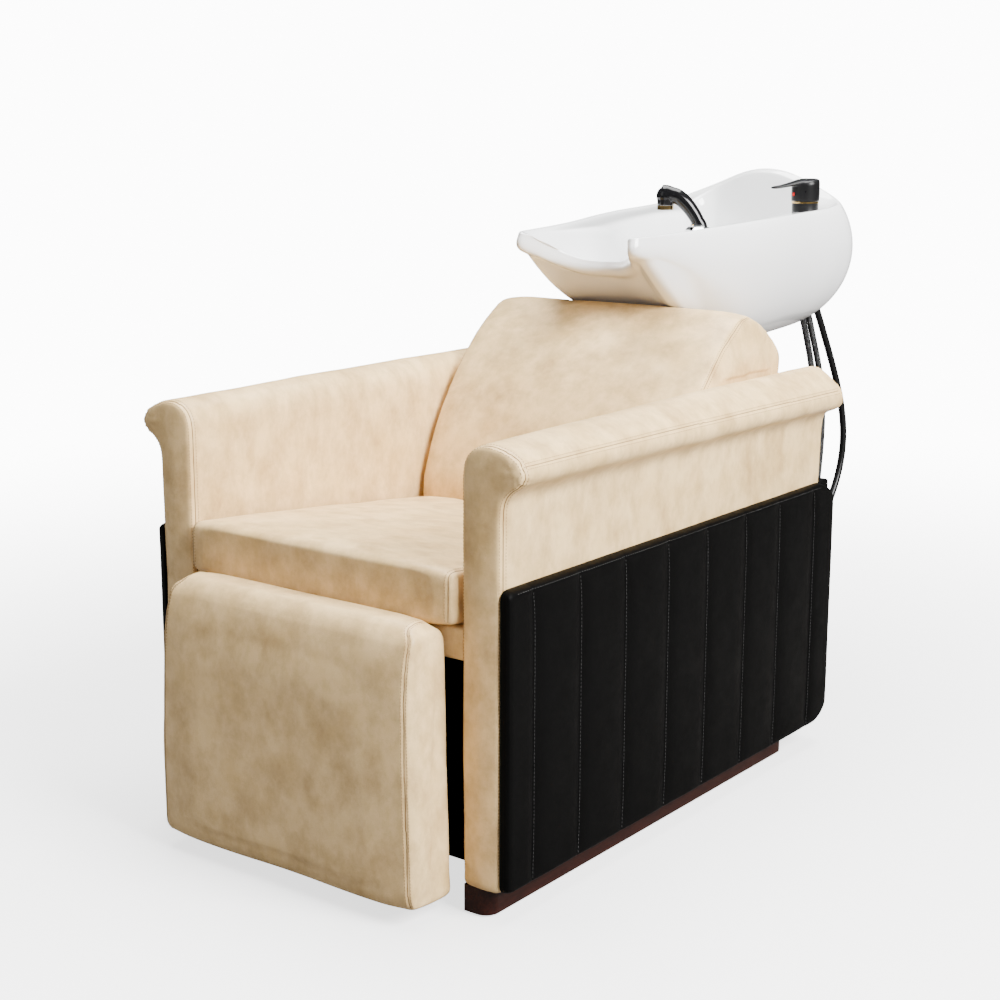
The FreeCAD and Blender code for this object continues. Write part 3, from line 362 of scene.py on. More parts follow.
def face_outwards(piece, join=False, split=False):
    """Turns the faces outwards, after joining points that meet and before splitting the large end faces."""
    mesh = bmesh.new()
    mesh.from_mesh(piece.data)
    if join:
        bmesh.ops.remove_doubles(mesh, verts=mesh.verts, dist=0.00002)
    bmesh.ops.recalc_face_normals(mesh, faces=mesh.faces)
    if split:
        bmesh.ops.triangulate(mesh, faces=[face for face in mesh.faces if len(face.verts) > 4])
    mesh.to_mesh(piece.data)
    mesh.free()


def distances_along(line):
    """How far each of a line's points is from its start."""
    return np.concatenate([[0], np.cumsum(np.linalg.norm(np.diff(line, axis=0), axis=1))])


def point_at(line, distances, at):
    return Vector([np.interp(at, distances, line[:, i]) for i in range(3)])


def apply_modifier(piece, kind, **settings):
    modifier = piece.modifiers.new("step", kind)
    for name, value in settings.items():
        setattr(modifier, name, value)
    bpy.context.view_layer.objects.active = piece
    bpy.ops.object.modifier_apply(modifier=modifier.name)


def round_profile(points, radius, steps=4):
    """A closed outline with its corners rounded; radius is one number or one for each corner."""
    count = len(points)
    radii = radius if isinstance(radius, (list, tuple)) else [radius] * count
    rounded = []
    for i in range(count):
        before, corner, after = (np.array(points[(i + k) % count], float) for k in (-1, 0, 1))
        back, on = before - corner, after - corner
        reach = min(radii[i], 0.45 * np.linalg.norm(back), 0.45 * np.linalg.norm(on))
        start = corner + back / np.linalg.norm(back) * reach
        end = corner + on / np.linalg.norm(on) * reach
        for k in range(steps + 1):
            t = k / steps
            rounded.append((1 - t) ** 2 * start + 2 * t * (1 - t) * corner + t * t * end)
    return np.array(rounded)


def resample(outline, spacing):
    """Points evenly spaced along a closed outline."""
    closed = np.vstack([outline, outline[:1]])
    total = distances_along(closed)
    places = np.linspace(0, total[-1], max(int(total[-1] / spacing), 8), endpoint=False)
    return np.column_stack([np.interp(places, total, closed[:, i]) for i in range(2)])


def inset_outline(outline, amount):
    """A closed outline moved inwards."""
    tangent = np.roll(outline, -1, 0) - np.roll(outline, 1, 0)
    tangent /= np.linalg.norm(tangent, axis=1)[:, None] + 1e-9
    area = np.sum(outline[:, 0] * np.roll(outline[:, 1], -1) - np.roll(outline[:, 0], -1) * outline[:, 1])
    inward = np.column_stack([-tangent[:, 1], tangent[:, 0]]) * (1 if area > 0 else -1)
    return outline + inward * amount


def extruded(name, outline, low, high, place, material, edge=7.0, spacing=9.0):
    """A closed soft block: an outline in millimetres, swept from low to high with rounded ends.
    place(u, v, w) gives the point of outline (u, v) at distance w."""
    outline = resample(outline, spacing)
    rings = []
    steps = [(edge * (1 - math.cos(a)), edge * (1 - math.sin(a))) for a in (0.0, 0.5, 1.0, math.pi / 2)]
    ends = [(low + along, inset) for along, inset in steps]
    count = max(int((high - low - 2 * edge) / spacing), 2)
    middle = [(low + edge + (high - low - 2 * edge) * i / count, 0.0) for i in range(1, count)]
    stations = ends + middle + [(high - along, inset) for along, inset in reversed(steps)]
    for along, inset in stations:
        rings.append((inset_outline(outline, inset), along))
    points = [place(u, v, w) for ring, w in rings for u, v in ring]
    piece = new_object(name, points, capped_faces(len(rings), len(outline)), material)
    face_outwards(piece, split=True)
    return piece


def distance_to_lines(points, lines):
    """Distance from each point to the nearest of some polylines."""
    best = np.full(len(points), 9.0)
    for line in lines:
        line = np.array([tuple(p) for p in line])
        for a, b in zip(line, line[1:]):
            along = b - a
            t = np.clip((points - a) @ along / max(along @ along, 1e-12), 0, 1)
            best = np.minimum(best, np.linalg.norm(points - (a + t[:, None] * along), axis=1))
    return best


CLOTH_SETTINGS = {
    "quality": 4, "mass": 0.2, "tension_stiffness": 20, "compression_stiffness": 20, "bending_stiffness": 2.0,
    "use_pressure": True, "uniform_pressure_force": 4.0, "vertex_group_mass": "held",
}


def inflate(piece, voxel, cap, pinned, least):
    """Cloth pressure swells a remeshed pad, with its seam lines held; each point moves by cap at most and
    rises by least away from the seams, because the cloth pulls its corners in."""
    apply_modifier(piece, "REMESH", mode="VOXEL", voxel_size=voxel, use_smooth_shade=True)
    rest = get_points(piece)
    near = distance_to_lines(rest, pinned)
    swell = least * (1 - np.exp(-((near / 0.03) ** 2)))
    normals = get_normals(piece)
    held = piece.vertex_groups.new(name="held")
    for index in np.nonzero(near < 0.006)[0]:
        held.add([int(index)], 0.85, "REPLACE")
    cloth = piece.modifiers.new("cloth", "CLOTH")
    for name, value in CLOTH_SETTINGS.items():
        setattr(cloth.settings, name, value)
    cloth.settings.effector_weights.gravity = 0
    cloth.point_cache.frame_start = 1
    cloth.point_cache.frame_end = 20
    for step in range(1, 21):
        scene.frame_set(step)
    posed = piece.evaluated_get(bpy.context.evaluated_depsgraph_get())
    moved = np.empty(len(rest) * 3)
    posed.data.vertices.foreach_get("co", moved)
    shift = moved.reshape(-1, 3) - rest
    length = np.linalg.norm(shift, axis=1)
    shift *= (np.minimum(length, cap) / np.maximum(length, 1e-9))[:, None]
    rise = (shift * normals).sum(axis=1)
    shift += normals * (np.maximum(rise, 0.8 * swell) - rise)[:, None]
    piece.modifiers.remove(cloth)
    piece.vertex_groups.clear()
    scene.frame_set(1)
    set_points(piece, rest + shift)
    apply_modifier(piece, "SMOOTH", factor=0.5, iterations=2)
    apply_modifier(piece, "SUBSURF", levels=1, render_levels=1)


def press_seams(piece, lines, width=0.0035, depth=0.0016):
    """Draws a narrow valley along each seam line."""
    points = get_points(piece)
    near = distance_to_lines(points, lines)
    push = depth * np.exp(-((near / width) ** 2))
    set_points(piece, points - get_normals(piece) * push[:, None])


def clamp(piece, low, high):
    """Keeps a pad inside a box given by two corner points; None leaves a side free."""
    points = get_points(piece)
    for axis in range(3):
        if low[axis] is not None:
            points[:, axis] = np.maximum(points[:, axis], low[axis])
        if high[axis] is not None:
            points[:, axis] = np.minimum(points[:, axis], high[axis])
    set_points(piece, points)


def ripple(piece, size, amount, seed):
    """Gentle unevenness of a hand-stretched cover."""
    points, normals = get_points(piece), get_normals(piece)
    offset = Vector((seed, 2.3 * seed, 5.1))
    shift = np.array([noise.noise(Vector(p) / size + offset) for p in points])
    set_points(piece, points + normals * (shift * amount)[:, None])


def stitch(name, piece_on, lines, body, material, pitch=0.0046, length=0.0030, radius=0.00042):
    """Rows of thread dashes laid on a surface along lines near it."""
    tree = BVHTree.FromObject(piece_on, bpy.context.evaluated_depsgraph_get())
    points, faces = [], []
    lift = 0.0001
    rings = [(0.35, -0.5), (1.0, -0.3), (1.0, 0.3), (0.35, 0.5)]
    for line in lines:
        line = np.array([tuple(p) for p in line])
        total = distances_along(line)
        for at in np.arange(pitch, total[-1] - pitch, pitch):
            here, on = point_at(line, total, at), point_at(line, total, at + 0.001)
            spot, normal, _, _ = tree.find_nearest(here)
            along = on - here
            along -= normal * along.dot(normal)
            if along.length < 1e-6:
                continue
            along.normalize()
            across = normal.cross(along)
            start = len(points)
            for thick, where in rings:
                for angle in around(5):
                    offset = across * math.cos(angle) + normal * math.sin(angle)
                    points.append(spot + normal * lift + along * where * length + offset * radius * thick)
            faces += capped_faces(len(rings), 5, start)
    return new_object(name, points, faces, material, body)


def seam_fold_shade(name, piece_on, lines, body, radius=0.0005):
    """Painted shade of the seam valleys: a fine dark line in each valley where two covers meet. It stands for
    the fold there and for the shade that falls into the narrow groove.
    """
    tree = BVHTree.FromObject(piece_on, bpy.context.evaluated_depsgraph_get())
    points, faces = [], []
    for line in lines:
        line = np.array([tuple(p) for p in line])
        total = distances_along(line)
        spots = []
        for at in np.arange(0, total[-1], 0.004):
            spot, normal, _, _ = tree.find_nearest(point_at(line, total, at))
            spots.append((spot, normal))
        start = len(points)
        for i, (spot, normal) in enumerate(spots):
            along = spots[min(i + 1, len(spots) - 1)][0] - spots[max(i - 1, 0)][0]
            across = normal.cross(along).normalized() if along.length else Vector((1, 0, 0))
            for angle in around(5):
                points.append(spot + (across * math.cos(angle) + normal * math.sin(angle)) * radius)
        faces += [tuple(start + i for i in face) for face in loft_faces(len(spots), 5)]
    return new_object(name, points, faces, SEAM_SHADE, body)


def smooth_line(points, count=40):
    """A dense polyline through a few points."""
    points = np.array([tuple(p) for p in points])
    total = distances_along(points)
    places = np.linspace(0, total[-1], count)
    return np.column_stack([np.interp(places, total, points[:, i]) for i in range(3)])


# ---- hoses -----------------------------------------------------------------------------------------

SHOWER_ROUTE = [
    P(136.7, 1147, 812), P(136.7, 1147, 775), P(140, 1162, 738), P(140, 1188, 704), P(139, 1218, 662),
    P(143, 1244, 612), P(147, 1268, 560), P(150, 1288, 505), P(151, 1296, 450), P(151, 1284, 396),
    P(151, 1254, 348), P(151, 1212, 306), P(147, 1165, 278), P(138, 1115, 264), P(128, 1072, 267),
    P(119, 1039, 284), P(113, 1020, 316), P(110, 1011, 362), P(109, 1003, 415), P(108, 985, 470),
    P(106, 956, 525), P(103, 923, 578), P(100, 900, 620), P(98, 884, 660), P(97, 873, 702),
    P(98, 854, 742), P(102, 832, 780), P(104, 820, 818), P(104, 820, 850),
]
HOT_ROUTE = [
    P(123.7, 1139.5, 812), P(123.7, 1139.5, 775), P(123, 1148, 735), P(123, 1163, 695), P(126, 1178, 653),
    P(129, 1192, 610), P(131, 1202, 563), P(131, 1207, 513), P(130, 1207, 463), P(129, 1204, 413),
    P(127, 1199, 363), P(125, 1193, 313), P(123, 1188, 263), P(121, 1184, 213), P(120, 1181, 163),
    P(119, 1178, 115), P(119, 1178, 70),
]
COLD_ROUTE = [
    P(123.7, 1154.5, 812), P(123.7, 1154.5, 775), P(125, 1162, 735), P(130, 1175, 695), P(135, 1186, 653),
    P(140, 1199, 610), P(143, 1210, 563), P(144, 1217, 513), P(143, 1219, 463), P(141, 1218, 413),
    P(139, 1214, 363), P(136, 1210, 313), P(134, 1208, 263), P(132, 1204, 213), P(131, 1203, 163),
    P(132, 1204, 118), P(132, 1204, 76),
]


def nurbs_points(route):
    """Points along the smooth line that a route's points control."""
    curve = bpy.data.curves.new("route", "CURVE")
    curve.dimensions = "3D"
    curve.resolution_u = 8
    spline = curve.splines.new("NURBS")
    spline.points.add(len(route) - 1)
    for point, place in zip(spline.points, route):
        point.co = (*place, 1)
    spline.order_u = 3
    spline.use_endpoint_u = True
    holder = bpy.data.objects.new("route", curve)
    scene.collection.objects.link(holder)
    bpy.context.view_layer.update()
    mesh = bpy.data.meshes.new_from_object(holder.evaluated_get(bpy.context.evaluated_depsgraph_get()))
    line = [v.co.copy() for v in mesh.vertices]
    bpy.data.meshes.remove(mesh)
    bpy.data.objects.remove(holder)
    bpy.data.curves.remove(curve)
    return line


def tube(name, line, radii, material, sides=14, up=(1, 0, 0)):
    """A tube whose rings, each with its own radius, are carried along the line without twisting."""
    points = []
    up = Vector(up)
    for i, (here, radius) in enumerate(zip(line, radii)):
        ahead = line[min(i + 1, len(line) - 1)] - line[max(i - 1, 0)]
        ahead.normalize()
        up = (up - ahead * up.dot(ahead)).normalized()
        side = ahead.cross(up)
        for angle in around(sides):
            points.append(here + (up * math.cos(angle) + side * math.sin(angle)) * radius)
    return new_object(name, points, capped_faces(len(line), sides), material)


for name, node, route, radius, length, material, slot, bodies, span, end, riders in (
    ("shower_tube", "shower_hose", SHOWER_ROUTE, 0.00625, 1.371, HOSE, "hose_rubber", ("basin", "hand_spray"),
     (P(120, 1110, 300), P(105, 890, 300)), "object", ()),
    ("hot_tube", "supply_hose_hot", HOT_ROUTE, 0.00575, 0.753, BRAID, "hose_braid", ("chair", "basin"),
     (P(119, 1190, 110), P(119, 1190, 760)), "connector", ("supply_unions",)),
    ("cold_tube", "supply_hose_cold", COLD_ROUTE, 0.00575, 0.745, BRAID, "hose_braid", ("chair", "basin"),
     (P(132, 1204, 110), P(132, 1204, 760)), "connector", ("supply_unions",)),
):
    line = nurbs_points(route)
    piece = tube(name, line, [radius] * len(line), material)
    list(bodies)
    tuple(span[0])
    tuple(span[1])
    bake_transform(piece)
    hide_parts(node)
    with_pieces = [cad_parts[rider] for rider in riders]
    tuple(route[0])

# ---- arms ------------------------------------------------------------------------------------------

ARM_SECTION = [
    (250, 42), (250, 600), (251.5, 618), (257, 631), (267, 640.5), (281, 646), (297, 646.5), (314, 643.5),
    (330, 637.5), (341, 630), (347.5, 620.5), (349.3, 610), (345.5, 601), (336.5, 594), (327, 588),
    (319.5, 580.5), (315, 569), (313.7, 550), (313.7, 42),
]
ARM_FRONT, ARM_REAR = 0.0, 862.0


def arm_point(side, x, z, along):
    """The arm's rear end leans back towards the top, and its roll sinks slightly towards the rear."""
    share = along / ARM_REAR
    lean = 29 * max(z - 42, 0) ** 1.6 / 578**1.6 * share**6
    in_roll = unit((x - 300) / 30) * unit((z - 560) / 40)
    on_top = unit((z - 600) / 40) * math.sin(min(share * 1.6, 1) * math.pi / 2)
    return P(side * x, along + lean, z - 12 * share * in_roll + 4.5 * on_top)


def arm_ring(side, outline, depth, inset=0.0):
    """The arm's outline at one depth, up one side, over the roll and down the other."""
    ring = inset_outline(resample(outline, 5), inset)
    return [arm_point(side, x, z, depth) for x, z in ring if z > 60]


def build_arm(side_name, side):
    outline = round_profile(ARM_SECTION, 10)

    def place(u, v, w):
        return arm_point(side, u, v, w)

    name = f"arm_cover_{side_name}"
    cover = extruded(name, outline, ARM_FRONT, ARM_REAR, place, CREAM, edge=7, spacing=6)
    apply_modifier(cover, "REMESH", mode="VOXEL", voxel_size=0.0036, use_smooth_shade=True)
    apply_modifier(cover, "SMOOTH", factor=0.5, iterations=2)
    edge_seam = arm_ring(side, outline, 7.5)
    points, normals = get_points(cover), get_normals(cover)
    depth = (points[:, 1] - FRONT) * 1000
    height = points[:, 2] * 1000
    outward = points[:, 0] * side * 1000
    near_front = depth < 12
    rise = np.zeros(len(points))
    from_seam = distance_to_lines(points[near_front], [edge_seam])
    rise[near_front] = 0.0032 * (1 - np.exp(-((from_seam / 0.02) ** 2)))
    waves = np.array([noise.noise(Vector((p[1] * 14 + side, p[2] * 22, 0.7))) for p in points])
    hollow = np.exp(-(((height - 584) / 17) ** 2)) * (outward > 300) * np.clip(depth / 30, 0, 1)
    rise += hollow * (0.0030 * waves - 0.0012)
    tip = np.array(P(side * 341, 3, 613))
    reach = np.linalg.norm((points - tip) * [1, 0.6, 1], axis=1)
    turn = np.arctan2(points[:, 2] - tip[2], (points[:, 0] - tip[0]) * side)
    rise += 0.0013 * np.sin(turn * 11 + height / 9) * np.exp(-((reach / 0.020) ** 2)) * (depth < 22)
    set_points(cover, points + normals * rise[:, None])
    roll_seam = [arm_point(side, 346.2, 625.5, d) for d in range(8, 862, 20)]
    press_seams(cover, [edge_seam], 0.0026, 0.0026)
    press_seams(cover, [roll_seam], 0.0026, 0.0016)
    ripple(cover, 0.16, 0.0016, 3.1 + side)
    ripple(cover, 0.05, 0.0005, 7.7 + side)
    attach(cover, "chair")
    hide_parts(f"arm_{side_name}")
    rows = [arm_ring(side, outline, 2.2, 3.4), arm_ring(side, outline, 13)]
    for x, z in ((343.8, 629), (348.6, 621.5)):
        rows.append([arm_point(side, x, z, d) for d in range(12, 862, 20)])
    stitch(f"arm_stitches_{side_name}", cover, rows, "chair", CREAM_THREAD)
    # The dark line in each arm seam's valley is painted shade.
    seam_fold_shade(f"arm_seam_shade_{side_name}", cover, [edge_seam, roll_seam], "chair")


for side_name, side in SIDES:
    build_arm(side_name, side)

# ---- quilted panels --------------------------------------------------------------------------------


CHANNEL_STEPS = (0.03, 0.07, 0.13, 0.22, 0.36, 0.5, 0.64, 0.78, 0.87, 0.93, 0.97, 1.0)


def quilted(name, seams, low_z, high_z, thick, corners, place, node, edge=8.0):
    """A panel of padded channels between straight upright seams. corners holds the radii of the low start,
    low end, high end and high start corners; place(u, z, out) gives a point on the panel."""
    start, end = seams[0], seams[-1]
    columns = [seams[0] + s for s in (0.0, 1.5, 4.0)]
    for a, b in zip(seams, seams[1:]):
        columns += [a + (b - a) * share for share in CHANNEL_STEPS]
    columns = sorted(set(columns + [end - 4.0, end - 1.5]))
    fine = [0, 1.0, 2.5, 4.5, 7.5, 11.0, 16.0]
    height = high_z - low_z
    rows = fine + [16 + (height - 32) * i / 26 for i in range(1, 26)] + [height - f for f in reversed(fine)]

    def corner_limits(u):
        low, high = low_z, high_z
        for radius, at, top in zip(corners, (start, end, end, start), (False, False, True, True)):
            into = radius - abs(u - at)
            if into > 0:
                rise = radius - math.sqrt(max(radius**2 - into**2, 0))
                if top:
                    high -= rise
                else:
                    low += rise
        return low, high

    def drawn(u, z):
        """The cover is pulled towards the front where it turns over the top and bottom edges."""
        inside = unit(min(u - start, end - u) / 40)
        return u - inside * (9 * math.exp((z - high_z) / 22) + 5 * math.exp((low_z - z) / 22))

    points = []
    for u in columns:
        low, high = corner_limits(u)
        channel = next(((a, b) for a, b in zip(seams, seams[1:]) if a <= u <= b))
        s = (u - channel[0]) / (channel[1] - channel[0])
        puff = (1 - abs(2 * s - 1) ** 4) ** 0.8
        for v in rows:
            z = low + (high - low) * v / height
            rim = min(u - start, end - u, z - low, high - z)
            over = math.sqrt(max(1 - (1 - min(rim / edge, 1)) ** 2, 0))
            inner_seam = channel[0] != start or s > 0.5
            inner_seam = inner_seam and (channel[1] != end or s < 0.5)
            valley = (0.62 + 0.38 * puff) if inner_seam else (0.86 + 0.14 * min(puff * 3, 1))
            valley = 1 - (1 - valley) * min(max(min(z - low, high - z) / 18, 0.25), 1)
            wave = 0.6 * noise.noise(Vector((u / 60, z / 90, low_z)))
            wave += 0.35 * noise.noise(Vector((u / 17, z / 25, 4)))
            points.append(place(drawn(u, z), z, thick * over * valley + wave * over * puff))
    count, last = len(rows), len(columns) - 1
    faces = loft_faces(len(columns), count, closed=False)
    back = len(points)
    for u in columns:
        low, high = corner_limits(u)
        points += [place(u, low + (high - low) * v / height, -0.5) for v in rows]
    faces += [tuple(back + i for i in reversed(face)) for face in faces]
    border = [i * count for i in range(len(columns))]
    border += [last * count + j for j in range(1, count)]
    border += [i * count + count - 1 for i in range(last - 1, -1, -1)]
    border += list(range(count - 2, 0, -1))
    for a, b in zip(border, border[1:] + border[:1]):
        faces.append((a, back + a, back + b, b))
    panel = new_object(name, points, faces, BLACK)
    face_outwards(panel)
    apply_modifier(panel, "SUBSURF", levels=1, render_levels=1)
    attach(panel, "chair")
    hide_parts(node)
    lines = []
    for u in seams[1:-1]:
        low, high = corner_limits(u)
        heights = np.linspace(low + 5, high - 5, 40)
        lines.append(smooth_line([place(drawn(u, z) + 1.2, z, thick) for z in heights], 80))
    top = high_z - 5.5
    lines.append(smooth_line([place(start + 16, top, thick), place(end - corners[2], top, thick)], 60))
    stitch(name + "_stitches", panel, lines, "chair", GREY_THREAD, 0.0054, 0.0032, 0.0004)


SIDE_SEAMS = [0, 60, 168, 279, 392, 502, 618, 726, 843, 913]
for side_name, side in SIDES:
    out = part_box(f"side_panel_{side_name}")[1 if side > 0 else 0].x * 1000 - side * 14
    quilted(f"side_quilt_{side_name}", SIDE_SEAMS, 42, 460, 14, (14, 45, 45, 14),
            lambda u, z, t, out=out, side=side: P(out + side * t, u, z), f"side_panel_{side_name}")
quilted("rear_quilt", [-269, -179, -90, 0, 90, 179, 269], 44, 458, 13, (10, 10, 10, 10),
        lambda u, z, t: P(u, 899.5 + t, z), "rear_lower_panel")

# ---- small upholstered boards ----------------------------------------------------------------------


def covered_board(node, material, name, high_z=None):
    """A flat board under a stretched cover, with soft edges."""
    low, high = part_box(node)
    x0, x1 = low.x * 1000, high.x * 1000
    u0, u1 = (low.y - FRONT) * 1000, (high.y - FRONT) * 1000
    z0, z1 = low.z * 1000, high_z or high.z * 1000
    outline = round_profile([(u0, z0), (u1, z0), (u1, z1), (u0, z1)], 3.0)
    cover = extruded(name, outline, x0, x1, upright, material, edge=3, spacing=5)
    apply_modifier(cover, "SUBSURF", levels=1, render_levels=1)
    ripple(cover, 0.09, 0.0006, 1.9)
    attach(cover, "chair")
    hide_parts(node)


covered_board("front_rail", CREAM, "front_rail_cover", high_z=398.2)
covered_board("kick_board", BLACK, "kick_board_cover")
covered_board("rear_upper_panel", CREAM, "rear_upper_cover")
covered_board("rear_stile_left", BLACK, "stile_cover_left")
covered_board("rear_stile_right", BLACK, "stile_cover_right")

# ---- basin -----------------------------------------------------------------------------------------

# The rim's crest from the neck notch round one horn and side to the splash back: x, depth, height, and how
# far the wall is the front's flare with an overhanging lip (1) rather than a full bowl (0).
RIM = [
    (0, 701, 819, 1.0), (42, 689, 822, 1.0), (72, 664, 836, 1.0), (88, 633, 853, 1.0), (103, 610, 864, 1.0),
    (117, 619, 867, 1.0), (124, 660, 868.5, 0.95), (132, 730, 871, 0.7), (143, 810, 875, 0.3),
    (157, 890, 880, 0.0), (168, 980, 885, 0.0), (171, 1070, 889, 0.0), (176, 1150, 893, 0.0),
    (168, 1208, 902, 0.0), (112, 1236, 926, 0.0), (50, 1243, 950, 0.0), (0, 1245, 957, 0.0),
]
BASE_CENTRE, BASE_HALF = 1030, (82, 124)
BOWL_CENTRE, BOWL_HALF = 1035, (62, 100)
BASE_Z, FLOOR_Z, WASTE = 668.0, 690.0, (0, 1065, 24.2)
# The front wall from the base to the rim: share of the way forwards, sideways and up.
FLARE = [
    (0, 0, 0), (0.17, 0.46, 0.10), (0.38, 0.85, 0.27), (0.61, 1.0, 0.46), (0.77, 1.04, 0.64),
    (0.87, 1.05, 0.77), (0.90, 1.04, 0.81), (0.97, 1.03, 0.835), (1.01, 1.03, 0.875), (1.015, 1.02, 0.93),
    (1.0, 1.0, 0.975),
]


def catmull(stations, per):
    """Smooth closed run through stations."""
    stations = np.array(stations, float)
    count = len(stations)
    out = []
    for i in range(count):
        a, b, c, d = (stations[(i + k) % count] for k in (-1, 0, 1, 2))
        for k in range(per):
            t = k / per
            square, cube = (2 * a - 5 * b + 4 * c - d) * t * t, (3 * b - a - 3 * c + d) * t**3
            out.append(0.5 * (2 * b + (c - a) * t + square + cube))
    return np.array(out)


def basin_section(x, depth, height, front):
    """The wall from the outside of the waste hole, up over the rim and down to the inside of the hole."""
    turn = math.atan2(x, depth - 960)
    base = np.array([BASE_HALF[0] * math.sin(turn), BASE_CENTRE + BASE_HALF[1] * math.cos(turn)])
    bowl = np.array([BOWL_HALF[0] * math.sin(turn), BOWL_CENTRE + BOWL_HALF[1] * math.cos(turn)])
    hole = np.array([WASTE[0] + WASTE[2] * math.sin(turn), WASTE[1] + WASTE[2] * math.cos(turn)])
    rim = np.array([x, depth])
    front = unit(front)
    points = [(*hole, FLOOR_Z - 12), (*hole, BASE_Z - 1), (*(0.5 * hole + 0.5 * base), BASE_Z)]
    bulge = math.radians(122)
    for i, (flare_out, flare_wide, flare_up) in enumerate(FLARE):
        angle = bulge * i / len(FLARE)
        round_out = math.sin(angle) / math.sin(bulge)
        out = (1 - front) * round_out + front * np.array([flare_wide, flare_out])
        up = front * flare_up + (1 - front) * (1 - math.cos(angle)) / (1 - math.cos(bulge))
        points.append((*(base + (rim - base) * out), BASE_Z + (height - BASE_Z) * up))
    points.append((x, depth, height))
    rearward = unit((depth - 960) / 200)
    inward = np.array([bowl[0] - x, (bowl[1] - depth) * (0.35 + 0.65 * rearward)])
    inward /= np.linalg.norm(inward)
    points.append((*(rim + inward * 8), height - 0.8))
    points.append((*(rim + inward * 15), height - 5))
    shelf = (54 + 13 * unit((depth - 1000) / 100)) * min(unit((depth - 690) / 90), unit((1236 - depth) / 50))
    for share in (0.5, 0.92) if shelf > 1 else (0.4, 0.8):
        points.append((*(rim + inward * (15 + (6 + shelf) * share)), height - 5 - 4 * share))
    lip = rim + inward * (21 + shelf)
    lip_z = height - 11
    for k in range(1, 9):
        t = k / 8
        side_out, side_up = math.cos(t * math.pi / 2), 1 - math.sin(t * math.pi / 2)
        out, up = front * (1 - t) + (1 - front) * side_out, front * (1 - t) ** 1.15 + (1 - front) * side_up
        points.append((*(bowl + (lip - bowl) * out), FLOOR_Z + (lip_z - FLOOR_Z) * up))
    points.append((*(0.5 * hole + 0.5 * bowl), FLOOR_Z - 0.4))
    points.append((*hole, FLOOR_Z - 0.8))
    points.append((*hole, FLOOR_Z - 12))
    return points


def build_basin():
    stations = RIM + [(-x, depth, z, front) for x, depth, z, front in RIM[-2:0:-1]]
    sections = [basin_section(*station) for station in catmull(stations, 4)]
    rows, columns = len(sections), len(sections[0])
    points = [P(*point) for section in sections for point in section]
    faces = []
    for i in range(rows):
        k = (i + 1) % rows
        for j in range(columns - 1):
            faces.append((i * columns + j, k * columns + j, k * columns + j + 1, i * columns + j + 1))
    bowl = new_object("wash_basin", points, faces, CERAMIC)
    face_outwards(bowl, join=True)
    apply_modifier(bowl, "SUBSURF", levels=2, render_levels=2)
    for polygon in bowl.data.polygons:
        polygon.use_smooth = True
    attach(bowl, "basin")
    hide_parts("basin")
    return bowl


wash_basin = build_basin()

# ---- cushions --------------------------------------------------------------------------------------


def finish_cushion(cushion, body, nodes):
    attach(cushion, body)
    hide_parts(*nodes)


# Each cushion's outline as depths and heights, with its corner radii
SEAT_OUTLINE = [(-13, 402), (-13, 474), (3, 476), (227, 456), (508, 426), (508, 401)]
SEAT_RADII = [8, 12, 14, 60, 10, 6]


def build_seat():
    seat = extruded("seat_pad", round_profile(SEAT_OUTLINE, SEAT_RADII), -243, 243, upright, CREAM, edge=9)
    edges = []
    for side in (-1, 1):
        steps = [(-14, 404), (-14, 470), (-4, 477), (227, 457), (500, 427)]
        edges.append(smooth_line([P(side * 238, depth, z) for depth, z in steps]))
    inflate(seat, 0.005, 0.008, edges, least=0.005)
    room = P(-249.2, -14.8, 399.2), P(249.2, 512, 486)
    clamp(seat, *room)
    press_seams(seat, edges, 0.003, 0.0016)
    ripple(seat, 0.11, 0.0020, 4.4)
    ripple(seat, 0.04, 0.0006, 9.1)
    clamp(seat, *room)
    finish_cushion(seat, "chair", ["seat_cushion"])
    rows = [line * np.array([0.977, 1, 1]) for line in edges]
    stitch("seat_stitches", seat, rows, "chair", CREAM_THREAD)
    # The dark line in each seat seam's valley is painted shade.
    seam_fold_shade("seat_seam_shade", seat, edges, "chair")


BACK_OUTLINE = [
    (513, 404), (514, 456), (546, 546), (602, 628), (668, 697), (728, 738), (758, 742), (792, 723),
    (828, 699), (858, 672), (858, 648), (838, 560), (802, 404),
]
BACK_RADII = [6, 30, 60, 80, 60, 24, 24, 30, 30, 18, 16, 30, 8]


def back_line(x, inset=0.0):
    """The seam between the front face and the side of the back cushion."""
    steps = [(513, 420), (516, 460), (547, 546), (603, 627), (668, 695), (727, 737), (752, 744)]
    return smooth_line([P(x, depth + inset, z) for depth, z in steps], 60)


def build_back():
    outline = round_profile(BACK_OUTLINE, BACK_RADII)
    back = extruded("back_pad", outline, -241, 241, upright, CREAM, edge=7, spacing=8)
    seams = [back_line(side * 244, 5) for side in (-1, 1)]
    inflate(back, 0.0055, 0.012, seams, least=0.007)
    points = get_points(back)
    wide = np.where(points[:, 2] > 0.650, 0.2575, 0.2492)
    points[:, 0] = np.clip(points[:, 0], -wide, wide)
    points[:, 2] = np.maximum(points[:, 2], 0.4005)
    points[:, 1] = np.minimum(points[:, 1], FRONT + np.where(points[:, 2] > 0.637, 0.868, 0.8655))
    under = BVHTree.FromObject(wash_basin, bpy.context.evaluated_depsgraph_get())
    for i in np.nonzero((points[:, 2] > 0.63) & (np.abs(points[:, 0]) < 0.2))[0]:
        hit, _, _, _ = under.ray_cast(Vector((points[i, 0], points[i, 1], 0.5)), Vector((0, 0, 1)))
        if hit is not None:
            points[i, 2] = min(points[i, 2], hit.z - 0.003)
    set_points(back, points)
    press_seams(back, seams, 0.0032, 0.0018)
    ripple(back, 0.15, 0.0016, 12.3)
    finish_cushion(back, "chair", ["back_cushion"])
    rows = [back_line(side * x, inset) for side in (-1, 1) for x, inset in ((240, 1), (249, 11))]
    stitch("back_stitches", back, rows, "chair", CREAM_THREAD)
    # The dark line in each back seam's valley is painted shade.
    seam_fold_shade("back_seam_shade", back, seams, "chair")


